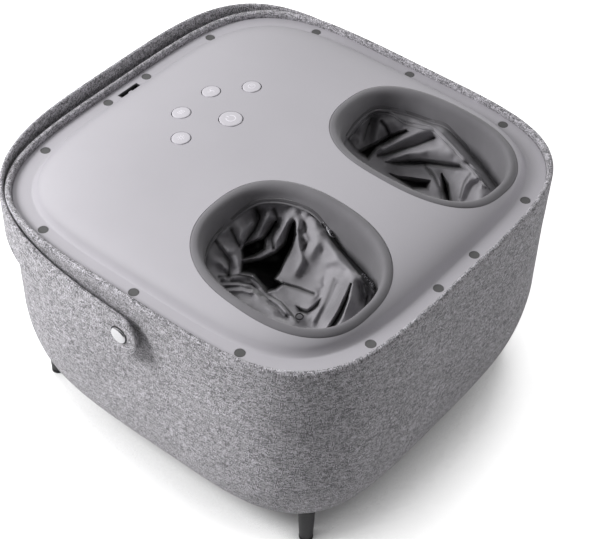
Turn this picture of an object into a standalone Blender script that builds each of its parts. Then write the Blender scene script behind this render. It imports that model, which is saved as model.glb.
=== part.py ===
"""Foot massager: a fabric covered tub on four short legs with two foot holes in a crowned panel.

Metres, +Z up. The user sits at -Y, so the heels are at -Y and the buttons, the toes and the
carry handle at +Y. The pieces are laid out about the body's middle on the floor, and one empty
then moves them all back by half the handle's overhang, so that the origin lies on the floor
under the middle of the whole object.
"""
import math

import bmesh
import bpy
from mathutils import Matrix, Vector

# Clearances
GAP = 0.0003
MERGE_DISTANCE = 0.00001
CUT_OVERRUN = 0.004
SINK = 0.001

# Body seen from above and from the side
FLANGE_HEIGHT = 0.274
BODY_BOTTOM_HEIGHT = 0.032
PANEL_HALF_WIDTH = 0.22375
PANEL_HALF_DEPTH = 0.22145
PLAN_EXPONENT = 4.2
FABRIC_THICKNESS = 0.0013
TUB_WALL = 0.00225
WAIST_HEIGHT = 0.137
WAIST_INSET_WIDTH = 0.0053
WAIST_INSET_DEPTH = 0.0012
BOTTOM_ROUND_WIDTH = 0.037
RIM_RISE = 0.0045
LEDGE_WIDTH = 0.0045
LEDGE_DEPTH = 0.006
BODY_POINTS = 32
WALL_LEVEL_SHARES = (0.5,)
BOTTOM_ROUND_ANGLES = (22, 45, 68, 90)
LIP_ANGLES = (0, 60, 120, 180)

# Underside, legs and pads
COVER_MARGIN = 0.020
COVER_THICKNESS = 0.0014
VENT_LENGTH = 0.060
VENT_WIDTH = 0.004
VENT_PITCH = 0.012
VENT_COUNT = 6
LEG_INSET_WIDTH = 0.0609
LEG_INSET_FRONT = 0.0535
LEG_INSET_BACK = 0.0475
LEG_RISE = 0.017
LEG_TOP_RADIUS = 0.0085
LEG_FOOT_RADIUS = 0.007
LEG_BOLT_RADIUS = 0.003
LEG_BOSS_RADIUS = 0.008
LEG_BOSS_HEIGHT = 0.014
PAD_RADIUS = 0.0073
PAD_HEIGHT = 0.004
PAD_BEVEL = 0.0008

# Crowned panel
PANEL_THICKNESS = 0.003
CROWN_RISE = 0.037
CROWN_SHARE = 0.91774
CROWN_POWER = 3.28
CROWN_ROUNDING = 0.522
CROWN_RING_SHARES = (1.0, 0.985, 0.95, 0.89, 0.79, 0.64, 0.45, 0.22)

# Magnets that hold a lid, and the socket for its catch
MAGNET_RADIUS = 0.005
MAGNET_HEIGHT = 0.002
MAGNET_INSET = 0.00895
MAGNET_SIDE_SHARES = (0.136, 0.585)
MAGNET_END_SHARES = (0.0, 0.585)
SOCKET_WIDTH = 0.028
SOCKET_DEPTH = 0.0076
SOCKET_HEIGHT = 0.008
SOCKET_INSET = 0.01225
SOCKET_WALL = 0.0014
SOCKET_EAR = 0.003
SOCKET_LUG = 0.0022

# Buttons
BUTTON_RADIUS = 0.0098
POWER_BUTTON_RADIUS = 0.0121
BUTTON_PROUD = 0.0005
BUTTON_CROWN = 0.0004
BUTTON_FLANGE = 0.0016
BUTTON_FLANGE_DROP = 0.0045
BUTTON_FLANGE_HEIGHT = 0.0012
BUTTON_STEM_RADIUS = 0.0025
BUTTON_STEM_DROP = 0.0105
BUTTON_TRAVEL = 0.0015
BUTTON_STEPS = 14
BUTTONS = (
    ("power_button", 0.0, 0.0672, POWER_BUTTON_RADIUS),
    ("left_outer_button", -0.0538, 0.0856, BUTTON_RADIUS),
    ("left_inner_button", -0.0226, 0.1136, BUTTON_RADIUS),
    ("right_inner_button", 0.0226, 0.1136, BUTTON_RADIUS),
    ("right_outer_button", 0.0538, 0.0856, BUTTON_RADIUS),
)
BOARD_MARGIN = 0.014
BOARD_THICKNESS = 0.0016
BOARD_POST_RADIUS = 0.0025
BOARD_POST_INSET = 0.004
SWITCH_RADIUS = 0.0030

# Foot holes, collars and liners
HOLE_CENTRE_X = 0.1041
HOLE_CENTRE_Y = -0.0965
HOLE_HALF_WIDTH = 0.0787
HOLE_HALF_LENGTH = 0.0955
HOLE_EXPONENT = 2.44
HOLE_TOE_IN = math.radians(1.4)
HOLE_POINTS = 32
COLLAR_WALL = 0.0075
COLLAR_TAPER = 0.004
COLLAR_CREST = 0.0006
COLLAR_ROUND = 0.008
COLLAR_SHOULDER_SHARE = 0.2
COLLAR_SPIGOT = 0.006
LINER_THICKNESS = 0.0015
LINER_OVERLAP = 0.010
LINER_CLEARANCE = 0.0025
LINER_SEAM = 0.0008
LINER_POINTS = 40
LINER_FOLD_DEPTH = 0.026
LINER_FOLDS = 5
LINER_TWIST = 1.4
LINER_NARROW_SHARE = 0.3
LINER_RIDGE_SHARE = 0.5
LINER_FLOOR_INSET = 0.026
LINER_FLOOR_SHARES = (1.0, 1.2)
LINER_LEVEL_SHARES = (
    (0.05, 0.05, 0.5, 0.0),
    (0.12, 0.6, 1.0, 0.09),
    (0.3, 1.0, 1.0, 0.28),
    (0.55, 1.0, 1.0, 0.52),
    (0.8, 1.0, 0.9, 0.75),
)

# Foot wells below the panel
WELL_ROOF_DROP = 0.012
WELL_FLOOR_HEIGHT = 0.0955
WELL_WALL = 0.0025
WELL_SIDE_MARGIN = 0.0020
WELL_TOE_LENGTH = 0.098
WELL_EXPONENT = 3.6
WELL_POINTS = 24
WELL_ROUNDING = 0.016
WELL_SLOT_MARGIN = 0.002
AIRBAG_THICKNESS = 0.012
AIRBAG_LENGTH = 0.062
AIRBAG_MARGIN = 0.028
AIRBAG_EXPONENT = 3.0
AIRBAG_POINTS = 20
AIRBAG_SWELL = 0.004

# Rollers, belts and motor
SHAFT_RADIUS = 0.005
SHAFT_HEIGHT = 0.075
SHAFT_HALF_LENGTH = 0.176
HEEL_SHAFT_Y = -0.125
TOE_SHAFT_Y = 0.035
HEAD_RADIUS = 0.030
HEAD_LOBE_SHARE = 0.10
HEAD_LOBES = 3
HEAD_HALF_WIDTH = 0.014
HEAD_SPREAD = 0.034
HEAD_STATION_SHARES = (
    (-1.0, 0.60, 0.0),
    (-0.7, 0.90, 1.0),
    (0.0, 1.0, 1.0),
    (0.7, 0.90, 1.0),
    (1.0, 0.60, 0.0),
)
ROLLER_POINTS = 12
BELT_PLACE = 0.014
BELT_WIDTH = 0.009
BELT_THICKNESS = 0.0018
BELT_POINTS = 18
PULLEY_WIDTH = 0.010
LINK_PULLEY_RADIUS = 0.015
DRIVE_PULLEY_RADIUS = 0.020
MOTOR_PULLEY_RADIUS = 0.007
MOTOR_Y = -0.045
MOTOR_HEIGHT = 0.128
MOTOR_RADIUS = 0.0225
MOTOR_LENGTH = 0.029
MOTOR_SHAFT_RADIUS = 0.002
MOTOR_CAP_SHARE = 0.9
MOTOR_CAN_SHARE = 0.8
FRAME_THICKNESS = 0.003
FRAME_BEAM_WIDTH = 0.022
FRAME_SPINE_WIDTH = 0.040
FRAME_EAR_WIDTH = 0.006
FRAME_EAR_PLACE = 0.027
SHAFT_END = 0.005
FRAME_POST_WIDTH = 0.012
FRAME_POST_LENGTH = 0.028

# Parts behind the toe ends of the wells
PUMP_SIZE = (0.058, 0.046, 0.048)
PUMP_PLACE_X = -0.080
VALVE_SIZE = (0.040, 0.030, 0.026)
SUPPLY_SIZE = (0.070, 0.046, 0.030)
SUPPLY_PLACE_X = 0.084
UNIT_ROW_INSET = 0.0852
BLOCK_BEVEL = 0.004
INLET_RADIUS = 0.009
INLET_HEIGHT = 0.105
INLET_PROUD = 0.0015
INLET_LENGTH = 0.018
INLET_SOCKET_RADIUS = 0.0045
INLET_SOCKET_DEPTH = 0.010
INLET_FLANGE = 0.002

# Carry handle
PIVOT_DROP = 0.0384
HANDLE_GAP_WIDTH = 0.003
HANDLE_GAP_DEPTH = 0.0093
HANDLE_THICKNESS = 0.006
HANDLE_END_HALF_HEIGHT = 0.0245
HANDLE_END_REACH = 0.0215
HANDLE_BACK_HALF_HEIGHT = 0.0265
HANDLE_BACK_LIFT = 0.026
HANDLE_EXPONENT = 4.05
HANDLE_ARC_STEPS = 20
HANDLE_TAB_SHARES = (0.25, 0.6, 0.86, 0.97)
HANDLE_EDGE_SHARE = 0.72
STUD_RADIUS = 0.003
STUD_HEAD_RADIUS = 0.009
STUD_HEAD_HEIGHT = 0.0022
STUD_DOME_SHARE = 0.9
STUD_NUT_RADIUS = 0.0065
STUD_NUT_HEIGHT = 0.003

# Colours as red, green, blue
FABRIC_GREY = (0.42, 0.42, 0.43)
PANEL_GREY = (0.52, 0.52, 0.54)
COLLAR_GREY = (0.13, 0.13, 0.14)
LINER_GREY = (0.20, 0.20, 0.21)
SILVER = (0.72, 0.72, 0.74)
BLACK = (0.02, 0.02, 0.022)
BOARD_GREEN = (0.03, 0.16, 0.07)
DARK_STEEL = (0.30, 0.30, 0.32)

# Sizes that follow from those above
LIP_WIDTH = TUB_WALL + 2 * GAP + 2 * FABRIC_THICKNESS
BODY_HALF_WIDTH = PANEL_HALF_WIDTH + GAP + LIP_WIDTH
BODY_HALF_DEPTH = PANEL_HALF_DEPTH + GAP + LIP_WIDTH
TUB_INSET = FABRIC_THICKNESS + GAP
RIM_HEIGHT = FLANGE_HEIGHT + RIM_RISE
PIVOT_HEIGHT = FLANGE_HEIGHT - PIVOT_DROP
WELL_ROOF_HEIGHT = FLANGE_HEIGHT - WELL_ROOF_DROP
PANEL_UNDERSIDE = FLANGE_HEIGHT - PANEL_THICKNESS
LEDGE_HEIGHT = PANEL_UNDERSIDE - GAP
BOTTOM_ROUND_HEIGHT = WAIST_HEIGHT - BODY_BOTTOM_HEIGHT
TUB_FLOOR_HEIGHT = BODY_BOTTOM_HEIGHT + TUB_INSET + TUB_WALL
FLAT_INSET_WIDTH = WAIST_INSET_WIDTH + BOTTOM_ROUND_WIDTH
FLAT_INSET_DEPTH = WAIST_INSET_DEPTH + BOTTOM_ROUND_WIDTH
FRAME_TOP = TUB_FLOOR_HEIGHT + GAP + FRAME_THICKNESS
COLLAR_BOTTOM = WELL_ROOF_HEIGHT - WELL_WALL - COLLAR_SPIGOT
COLLAR_SPIGOT_TOP = WELL_ROOF_HEIGHT + GAP
COLLAR_BORE_INSET = GAP + COLLAR_TAPER + COLLAR_WALL
HEAD_REACH = HEAD_RADIUS * (1 + HEAD_LOBE_SHARE)
HEAD_PLACES = (HOLE_CENTRE_X - HEAD_SPREAD, HOLE_CENTRE_X + HEAD_SPREAD)
FRAME_EAR_PLACES = (FRAME_EAR_PLACE, SHAFT_HALF_LENGTH - SHAFT_END)
LEG_PLACE_X = BODY_HALF_WIDTH - LEG_INSET_WIDTH
LEG_PLACES_Y = (LEG_INSET_FRONT - BODY_HALF_DEPTH, BODY_HALF_DEPTH - LEG_INSET_BACK)
UNIT_ROW_Y = BODY_HALF_DEPTH - UNIT_ROW_INSET
WELL_FLOOR_TOP = WELL_FLOOR_HEIGHT + WELL_WALL
LINER_FLOOR = SHAFT_HEIGHT + HEAD_REACH + LINER_THICKNESS
WELL_HALF_WIDTH = HOLE_HALF_WIDTH + WELL_SIDE_MARGIN
WELL_FRONT = HOLE_CENTRE_Y - HOLE_HALF_LENGTH - WELL_SIDE_MARGIN
WELL_CENTRE_Y = (WELL_FRONT + WELL_TOE_LENGTH) / 2
WELL_HALF_LENGTH = (WELL_TOE_LENGTH - WELL_FRONT) / 2
HANDLE_HALF_WIDTH = BODY_HALF_WIDTH + HANDLE_GAP_WIDTH
HANDLE_HALF_DEPTH = BODY_HALF_DEPTH + HANDLE_GAP_DEPTH
HANDLE_OVERHANG = HANDLE_HALF_DEPTH + HANDLE_THICKNESS - BODY_HALF_DEPTH


def clear_scene():
    """Remove every object and collection that the file starts with."""
    for item in list(bpy.data.objects):
        bpy.data.objects.remove(item, do_unlink=True)
    for item in list(bpy.data.collections):
        bpy.data.collections.remove(item)


def new_collection(name):
    collection = bpy.data.collections.new(name)
    bpy.context.scene.collection.children.link(collection)
    return collection


def paint(piece, colour, roughness=0.6, metallic=0.0):
    """Give a piece its own Principled material."""
    material = bpy.data.materials.new(piece.name)
    material.use_nodes = True
    shader = material.node_tree.nodes["Principled BSDF"]
    shader.inputs["Base Color"].default_value = (*colour, 1.0)
    shader.inputs["Roughness"].default_value = roughness
    shader.inputs["Metallic"].default_value = metallic
    piece.data.materials.clear()
    piece.data.materials.append(material)
    return piece


def place(name, mesh, collection, location=(0, 0, 0), rotation=(0, 0, 0)):
    piece = bpy.data.objects.new(name, mesh)
    piece.location = location
    piece.rotation_euler = rotation
    collection.objects.link(piece)
    return piece


def mesh_from(name, build):
    """Make a mesh by running build on an empty bmesh."""
    mesh = bpy.data.meshes.new(name)
    shape = bmesh.new()
    build(shape)
    bmesh.ops.recalc_face_normals(shape, faces=shape.faces)
    shape.to_mesh(mesh)
    shape.free()
    return mesh


def loft(name, rings, collection, loop=False, caps=(True, True)):
    """Join rings of equal point counts; loop closes the last ring to the first."""
    def build(shape):
        rows = [[shape.verts.new(point) for point in ring] for ring in rings]
        pairs = list(zip(rows, rows[1:]))
        if loop:
            pairs.append((rows[-1], rows[0]))
        for low, high in pairs:
            for here in range(len(low)):
                there = (here + 1) % len(low)
                shape.faces.new((low[here], low[there], high[there], high[here]))
        if not loop and caps[0]:
            shape.faces.new(rows[0])
        if not loop and caps[1]:
            shape.faces.new(rows[-1])
    return place(name, mesh_from(name, build), collection)


def block(name, low, high, collection, bevel=0.0):
    """A box from its low corner to its high corner."""
    middle = [(a + b) / 2 for a, b in zip(low, high)]
    sides = [b - a for a, b in zip(low, high)]
    piece = place(name, mesh_from(name, lambda shape: bmesh.ops.create_cube(
        shape, size=1.0, matrix=Matrix.Diagonal((*sides, 1.0)))), collection, middle)
    if bevel:
        round_edges(piece, bevel)
    return piece


def round_edges(piece, width, segments=2):
    modifier = piece.modifiers.new("round", "BEVEL")
    modifier.width = width
    modifier.segments = segments
    modifier.limit_method = "ANGLE"


def cylinder(name, radius, low, high, collection, place_xy=(0, 0), top_radius=None, sides=24):
    """An upright cylinder or cone between two heights."""
    top = radius if top_radius is None else top_radius
    mesh = mesh_from(name, lambda shape: bmesh.ops.create_cone(
        shape, cap_ends=True, segments=sides, radius1=radius, radius2=top, depth=high - low))
    return place(name, mesh, collection, (*place_xy, (low + high) / 2))


def turned(name, profile, collection, location, rotation=(0, 0, 0), steps=16):
    """Turn a profile of (radius, height) points, listed from top to bottom, about its axis."""
    mesh = bpy.data.meshes.new(name)
    edges = [(index, index + 1) for index in range(len(profile) - 1)]
    mesh.from_pydata([(radius, 0, height) for radius, height in profile], edges, [])
    piece = place(name, mesh, collection, location, rotation)
    screw = piece.modifiers.new("turn", "SCREW")
    screw.axis = "Z"
    screw.angle = 2 * math.pi
    screw.steps = steps
    screw.render_steps = steps
    screw.use_merge_vertices = True
    screw.merge_threshold = MERGE_DISTANCE
    screw.use_smooth_shade = False
    return piece


def combine(piece, other, operation):
    """Cut or join a piece with another through an exact Boolean."""
    modifier = piece.modifiers.new(operation.lower(), "BOOLEAN")
    modifier.operation = operation
    modifier.solver = "EXACT"
    modifier.object = other
    other.hide_render = True
    other.display_type = "WIRE"
    return piece


def superellipse(half_width, half_depth, exponent, count):
    """Points of a superellipse, closest together where it bends most."""
    points = []
    for index in range(count):
        angle = 2 * math.pi * index / count
        along = math.copysign(abs(math.cos(angle)) ** (2 / exponent), math.cos(angle))
        across = math.copysign(abs(math.sin(angle)) ** (2 / exponent), math.sin(angle))
        points.append((half_width * along, half_depth * across))
    return points


def body_ring(inset_width, inset_depth, height, count=BODY_POINTS):
    """A ring round the body, inset from the widest outline at its lip."""
    outline = superellipse(BODY_HALF_WIDTH - inset_width, BODY_HALF_DEPTH - inset_depth,
                           PLAN_EXPONENT, count)
    return [(x, y, height) for x, y in outline]


def wall_section(inset):
    """Points of the body's side from its flat underside up to the rim, inset along the normal."""
    points = []
    for degrees in reversed(BOTTOM_ROUND_ANGLES):
        angle = math.radians(degrees)
        slope = Vector((BOTTOM_ROUND_HEIGHT * math.cos(angle), BOTTOM_ROUND_WIDTH * math.sin(angle)))
        slope.normalize()
        drawn_in = BOTTOM_ROUND_WIDTH * (1 - math.cos(angle)) + inset * slope.x
        height = WAIST_HEIGHT - BOTTOM_ROUND_HEIGHT * math.sin(angle) + inset * slope.y
        points.append((WAIST_INSET_WIDTH + drawn_in, WAIST_INSET_DEPTH + drawn_in, height))
    points.append((WAIST_INSET_WIDTH + inset, WAIST_INSET_DEPTH + inset, WAIST_HEIGHT))
    for share in WALL_LEVEL_SHARES:
        height = WAIST_HEIGHT + share * (FLANGE_HEIGHT - WAIST_HEIGHT)
        left = 1 - share ** 2
        points.append((WAIST_INSET_WIDTH * left + inset, WAIST_INSET_DEPTH * left + inset, height))
    return points


def plan_share(x, y):
    """How far out a place lies: 0 at the middle of the panel and 1 on its edge."""
    total = (abs(x) / PANEL_HALF_WIDTH) ** PLAN_EXPONENT + (abs(y) / PANEL_HALF_DEPTH) ** PLAN_EXPONENT
    return total ** (1 / PLAN_EXPONENT)


def crown_rise(share):
    """Height of the panel above its flange at a share of the crown's outline."""
    return CROWN_RISE * max(0.0, 1 - share ** CROWN_POWER) ** CROWN_ROUNDING


def panel_height(x, y):
    return FLANGE_HEIGHT + crown_rise(min(1.0, plan_share(x, y) / CROWN_SHARE))


def panel_normal(x, y):
    """Outward direction of the panel's top at a place."""
    step = PANEL_THICKNESS
    slope_x = (panel_height(x + step, y) - panel_height(x - step, y)) / (2 * step)
    slope_y = (panel_height(x, y + step) - panel_height(x, y - step)) / (2 * step)
    return Vector((-slope_x, -slope_y, 1.0)).normalized()


def hole_outline(side, offset, count=HOLE_POINTS):
    """Outline of a foot hole, grown by offset; side is -1 on the left and 1 on the right."""
    outline = superellipse(HOLE_HALF_WIDTH + offset, HOLE_HALF_LENGTH + offset,
                           HOLE_EXPONENT, count)
    turn = Matrix.Rotation(side * HOLE_TOE_IN, 2)
    turned_points = [turn @ Vector((side * x, y)) for x, y in outline]
    return [(side * HOLE_CENTRE_X + point.x, HOLE_CENTRE_Y + point.y) for point in turned_points]


def well_outline(side, offset, count=WELL_POINTS):
    """Outline of a foot well, which reaches further back than its hole for the toes."""
    outline = superellipse(WELL_HALF_WIDTH + offset, WELL_HALF_LENGTH + offset,
                           WELL_EXPONENT, count)
    return [(side * (HOLE_CENTRE_X + x), WELL_CENTRE_Y + y) for x, y in outline]


def at_height(outline, height):
    return [(x, y, height) for x, y in outline]


def make_tub(parts, cutters):
    """The rigid tub: floor, walls, rim and the ledge that carries the panel."""
    outer = wall_section(TUB_INSET)
    inner = wall_section(TUB_INSET + TUB_WALL)
    rim_outer = FABRIC_THICKNESS + GAP
    rim_inner = rim_outer + TUB_WALL
    ledge_inner = LIP_WIDTH + GAP + LEDGE_WIDTH
    section = outer + [
        (rim_outer, rim_outer, FLANGE_HEIGHT - LEDGE_DEPTH),
        (rim_outer, rim_outer, RIM_HEIGHT),
        (rim_inner, rim_inner, RIM_HEIGHT),
        (rim_inner, rim_inner, LEDGE_HEIGHT),
        (ledge_inner, ledge_inner, LEDGE_HEIGHT),
        (ledge_inner, ledge_inner, LEDGE_HEIGHT - LEDGE_DEPTH),
        (rim_inner, rim_inner, LEDGE_HEIGHT - 2 * LEDGE_DEPTH),
    ] + inner[::-1]
    tub = loft("tub_shell", [body_ring(*point) for point in section], parts)
    inside = loft("tub_inside_form", [body_ring(*point) for point in wall_section(TUB_INSET + SINK)],
                  cutters)
    for x, y in leg_places():
        top = leg_seat_height(x, y) + LEG_BOSS_HEIGHT
        boss = cylinder("leg_boss_form", LEG_BOSS_RADIUS, BODY_BOTTOM_HEIGHT, top, cutters, (x, y),
                        sides=12)
        combine(boss, inside, "INTERSECT")
        combine(tub, boss, "UNION")
        combine(tub, leg_bolt_hole(x, y, cutters), "DIFFERENCE")
    combine(tub, inlet_hole(cutters), "DIFFERENCE")
    for side in (-1, 1):
        combine(tub, stud_hole(side, cutters), "DIFFERENCE")
    return paint(tub, BLACK, 0.5)


def make_fabric_cover(parts, cutters):
    """The upholstery: from the underside, up the walls, over the rim and down to the panel."""
    flat = (FLAT_INSET_WIDTH + COVER_MARGIN, FLAT_INSET_DEPTH + COVER_MARGIN)
    outer = [(*flat, BODY_BOTTOM_HEIGHT)] + wall_section(0.0)
    inner = [(*flat, BODY_BOTTOM_HEIGHT + FABRIC_THICKNESS)] + wall_section(FABRIC_THICKNESS)
    middle = LIP_WIDTH / 2
    for surface, radius in ((outer, LIP_WIDTH / 2), (inner, LIP_WIDTH / 2 - FABRIC_THICKNESS)):
        start = middle - radius
        surface.append((start, start, FLANGE_HEIGHT - LEDGE_DEPTH))
        for degrees in LIP_ANGLES:
            angle = math.radians(degrees)
            inset = middle - radius * math.cos(angle)
            surface.append((inset, inset, RIM_HEIGHT + radius * math.sin(angle)))
        end = middle + radius
        surface.append((end, end, LEDGE_HEIGHT + GAP))
    section = outer + inner[::-1]
    cover = loft("fabric_cover", [body_ring(*point) for point in section], parts, loop=True)
    for x, y in leg_places():
        combine(cover, leg_bolt_hole(x, y, cutters), "DIFFERENCE")
    combine(cover, inlet_hole(cutters), "DIFFERENCE")
    for side in (-1, 1):
        combine(cover, stud_hole(side, cutters), "DIFFERENCE")
    return paint(cover, FABRIC_GREY, 0.95)


def make_bottom_cover(parts, cutters):
    """A plate in the window of the upholstery's underside, with slots for cooling air."""
    inset_width = FLAT_INSET_WIDTH + COVER_MARGIN + GAP
    inset_depth = FLAT_INSET_DEPTH + COVER_MARGIN + GAP
    top = BODY_BOTTOM_HEIGHT + TUB_INSET - GAP
    rings = [body_ring(inset_width, inset_depth, height) for height in (top - COVER_THICKNESS, top)]
    cover = loft("bottom_cover", rings, parts)
    for index in range(VENT_COUNT):
        across = (index - (VENT_COUNT - 1) / 2) * VENT_PITCH
        slot = block("vent_form", (-VENT_LENGTH / 2, across - VENT_WIDTH / 2, top - CUT_OVERRUN),
                     (VENT_LENGTH / 2, across + VENT_WIDTH / 2, top + CUT_OVERRUN), cutters)
        combine(cover, slot, "DIFFERENCE")
    return paint(cover, BLACK, 0.6)


def leg_places():
    return [(side * LEG_PLACE_X, place_y) for side in (-1, 1) for place_y in LEG_PLACES_Y]


def leg_seat_height(x, y):
    """Height of the body's underside over a leg."""
    flat_width = BODY_HALF_WIDTH - FLAT_INSET_WIDTH
    flat_depth = BODY_HALF_DEPTH - FLAT_INSET_DEPTH
    total = (abs(x) / flat_width) ** PLAN_EXPONENT + (abs(y) / flat_depth) ** PLAN_EXPONENT
    beyond = max(0.0, total ** (1 / PLAN_EXPONENT) - 1) * flat_width / BOTTOM_ROUND_WIDTH
    return BODY_BOTTOM_HEIGHT + BOTTOM_ROUND_HEIGHT * (1 - math.sqrt(1 - beyond ** 2))


def leg_bolt_hole(x, y, cutters):
    return cylinder("leg_bolt_form", LEG_BOLT_RADIUS + GAP, BODY_BOTTOM_HEIGHT - CUT_OVERRUN,
                    leg_seat_height(x, y) + LEG_BOSS_HEIGHT - SINK, cutters, (x, y), sides=10)


def make_legs(parts, cutters):
    """Short tapered legs, each with a bolt into the tub and a rubber pad under it."""
    rings = [body_ring(*point) for point in wall_section(-GAP)]
    envelope = loft("body_envelope_form", rings, cutters)
    for x, y in leg_places():
        label = ("front" if y < 0 else "back") + ("_left" if x < 0 else "_right")
        seat = leg_seat_height(x, y)
        leg = cylinder("leg_" + label, LEG_FOOT_RADIUS, PAD_HEIGHT + GAP, seat + LEG_RISE,
                       parts, (x, y), LEG_TOP_RADIUS, sides=12)
        combine(leg, envelope, "DIFFERENCE")
        bolt = cylinder("leg_bolt_" + label, LEG_BOLT_RADIUS, PAD_HEIGHT + SINK,
                        seat + LEG_BOSS_HEIGHT - 2 * SINK, cutters, (x, y), sides=10)
        combine(leg, bolt, "UNION")
        paint(leg, BLACK, 0.45)
        pad = cylinder("foot_pad_" + label, PAD_RADIUS, 0, PAD_HEIGHT, parts, (x, y), sides=12)
        round_edges(pad, PAD_BEVEL, 1)
        paint(pad, BLACK, 0.9)


def make_panel(parts, cutters):
    """The moulded top: a flat flange, a cove and a broad crown with two foot holes."""
    rings = [at_height(superellipse(PANEL_HALF_WIDTH, PANEL_HALF_DEPTH, PLAN_EXPONENT, BODY_POINTS),
                       FLANGE_HEIGHT)]
    for share in CROWN_RING_SHARES:
        outline = superellipse(PANEL_HALF_WIDTH * CROWN_SHARE * share,
                               PANEL_HALF_DEPTH * CROWN_SHARE * share, PLAN_EXPONENT, BODY_POINTS)
        rings.append(at_height(outline, FLANGE_HEIGHT + crown_rise(share)))
    panel = loft("top_panel", rings, parts, caps=(False, True))
    wall = panel.modifiers.new("wall", "SOLIDIFY")
    wall.thickness = PANEL_THICKNESS
    wall.offset = -1
    wall.use_even_offset = True
    for side in (-1, 1):
        hole = loft("foot_hole_form", [at_height(hole_outline(side, 0), height) for height in
                                       (PANEL_UNDERSIDE - CUT_OVERRUN,
                                        FLANGE_HEIGHT + CROWN_RISE + CUT_OVERRUN)], cutters)
        combine(panel, hole, "DIFFERENCE")
    for name, x, y, radius in BUTTONS:
        combine(panel, button_hole(x, y, radius, cutters), "DIFFERENCE")
    for x, y in magnet_places():
        pocket = cylinder("magnet_form", MAGNET_RADIUS + GAP, FLANGE_HEIGHT - MAGNET_HEIGHT - GAP,
                          FLANGE_HEIGHT + CUT_OVERRUN, cutters, (x, y), sides=12)
        combine(panel, pocket, "DIFFERENCE")
    y = socket_y()
    slot = block("socket_form", (-SOCKET_WIDTH / 2 - GAP, y - SOCKET_DEPTH / 2 - GAP,
                                 PANEL_UNDERSIDE - CUT_OVERRUN),
                 (SOCKET_WIDTH / 2 + GAP, y + SOCKET_DEPTH / 2 + GAP,
                  FLANGE_HEIGHT + CUT_OVERRUN), cutters)
    combine(panel, slot, "DIFFERENCE")
    return paint(panel, PANEL_GREY, 0.35, 0.25)


def magnet_places():
    """Fourteen places along the flange: four on each long side and three on each end."""
    half_width = PANEL_HALF_WIDTH - MAGNET_INSET
    half_depth = PANEL_HALF_DEPTH - MAGNET_INSET
    places = []
    for share in MAGNET_SIDE_SHARES:
        reach = (1 - share ** PLAN_EXPONENT) ** (1 / PLAN_EXPONENT)
        places += [(side * share * half_width, end * reach * half_depth)
                   for side in (-1, 1) for end in (-1, 1)]
    for share in MAGNET_END_SHARES:
        reach = (1 - share ** PLAN_EXPONENT) ** (1 / PLAN_EXPONENT)
        ends = (-1, 1) if share else (1,)
        places += [(side * reach * half_width, end * share * half_depth)
                   for side in (-1, 1) for end in ends]
    return places


def make_magnets(parts):
    for index, (x, y) in enumerate(magnet_places(), 1):
        magnet = cylinder(f"magnet_{index:02d}", MAGNET_RADIUS, FLANGE_HEIGHT - MAGNET_HEIGHT,
                          FLANGE_HEIGHT, parts, (x, y), sides=12)
        paint(magnet, DARK_STEEL, 0.4, 0.6)


def socket_y():
    return PANEL_HALF_DEPTH - SOCKET_INSET


def make_latch_socket(parts, cutters):
    """The socket that takes the lid's catch, held under the flange by two ears."""
    y = socket_y()
    low = FLANGE_HEIGHT - SOCKET_HEIGHT
    socket = block("latch_socket", (-SOCKET_WIDTH / 2, y - SOCKET_DEPTH / 2, low),
                   (SOCKET_WIDTH / 2, y + SOCKET_DEPTH / 2, FLANGE_HEIGHT), parts)
    ears = block("socket_ear_form", (-SOCKET_WIDTH / 2 - SOCKET_EAR, y - SOCKET_DEPTH / 2 + SINK, low),
                 (SOCKET_WIDTH / 2 + SOCKET_EAR, y + SOCKET_DEPTH / 2 - SINK, PANEL_UNDERSIDE - GAP),
                 cutters)
    combine(socket, ears, "UNION")
    pocket = block("socket_pocket_form", (-SOCKET_WIDTH / 2 + SOCKET_WALL,
                                          y - SOCKET_DEPTH / 2 + SOCKET_WALL, low + SOCKET_WALL),
                   (SOCKET_WIDTH / 2 - SOCKET_WALL, y + SOCKET_DEPTH / 2 - SOCKET_WALL,
                    FLANGE_HEIGHT + CUT_OVERRUN), cutters)
    combine(socket, pocket, "DIFFERENCE")
    lug = block("socket_lug_form", (-SOCKET_LUG, y - SOCKET_DEPTH / 2 + SOCKET_WALL / 2, low + SINK),
                (SOCKET_LUG, y - SOCKET_DEPTH / 2 + SOCKET_WALL + SOCKET_LUG,
                 FLANGE_HEIGHT - SINK), cutters)
    combine(socket, lug, "UNION")
    return paint(socket, BLACK, 0.5)


def tilt_to(direction):
    return Vector((0, 0, 1)).rotation_difference(direction).to_euler()


def button_hole(x, y, radius, cutters):
    hole = turned("button_form", [(0, CUT_OVERRUN), (radius + GAP, CUT_OVERRUN),
                                  (radius + GAP, -PANEL_THICKNESS - CUT_OVERRUN),
                                  (0, -PANEL_THICKNESS - CUT_OVERRUN)], cutters,
                  (x, y, panel_height(x, y)), tilt_to(panel_normal(x, y)), BUTTON_STEPS)
    return hole


def make_buttons(parts):
    """Domed caps that slide along the panel's normal, each with a flange and a stem below."""
    for name, x, y, radius in BUTTONS:
        flange_low = -BUTTON_FLANGE_DROP - BUTTON_FLANGE_HEIGHT
        profile = [(0, BUTTON_PROUD + BUTTON_CROWN), (radius / 2, BUTTON_PROUD + BUTTON_CROWN * 3 / 4),
                   (radius - BUTTON_PROUD, BUTTON_PROUD), (radius, 0), (radius, -BUTTON_FLANGE_DROP),
                   (radius + BUTTON_FLANGE, -BUTTON_FLANGE_DROP), (radius + BUTTON_FLANGE, flange_low),
                   (BUTTON_STEM_RADIUS, flange_low), (BUTTON_STEM_RADIUS, -BUTTON_STEM_DROP),
                   (0, -BUTTON_STEM_DROP)]
        button = turned(name, profile, parts, (x, y, panel_height(x, y)),
                        tilt_to(panel_normal(x, y)), BUTTON_STEPS)
        paint(button, SILVER, 0.3, 0.6)


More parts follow.
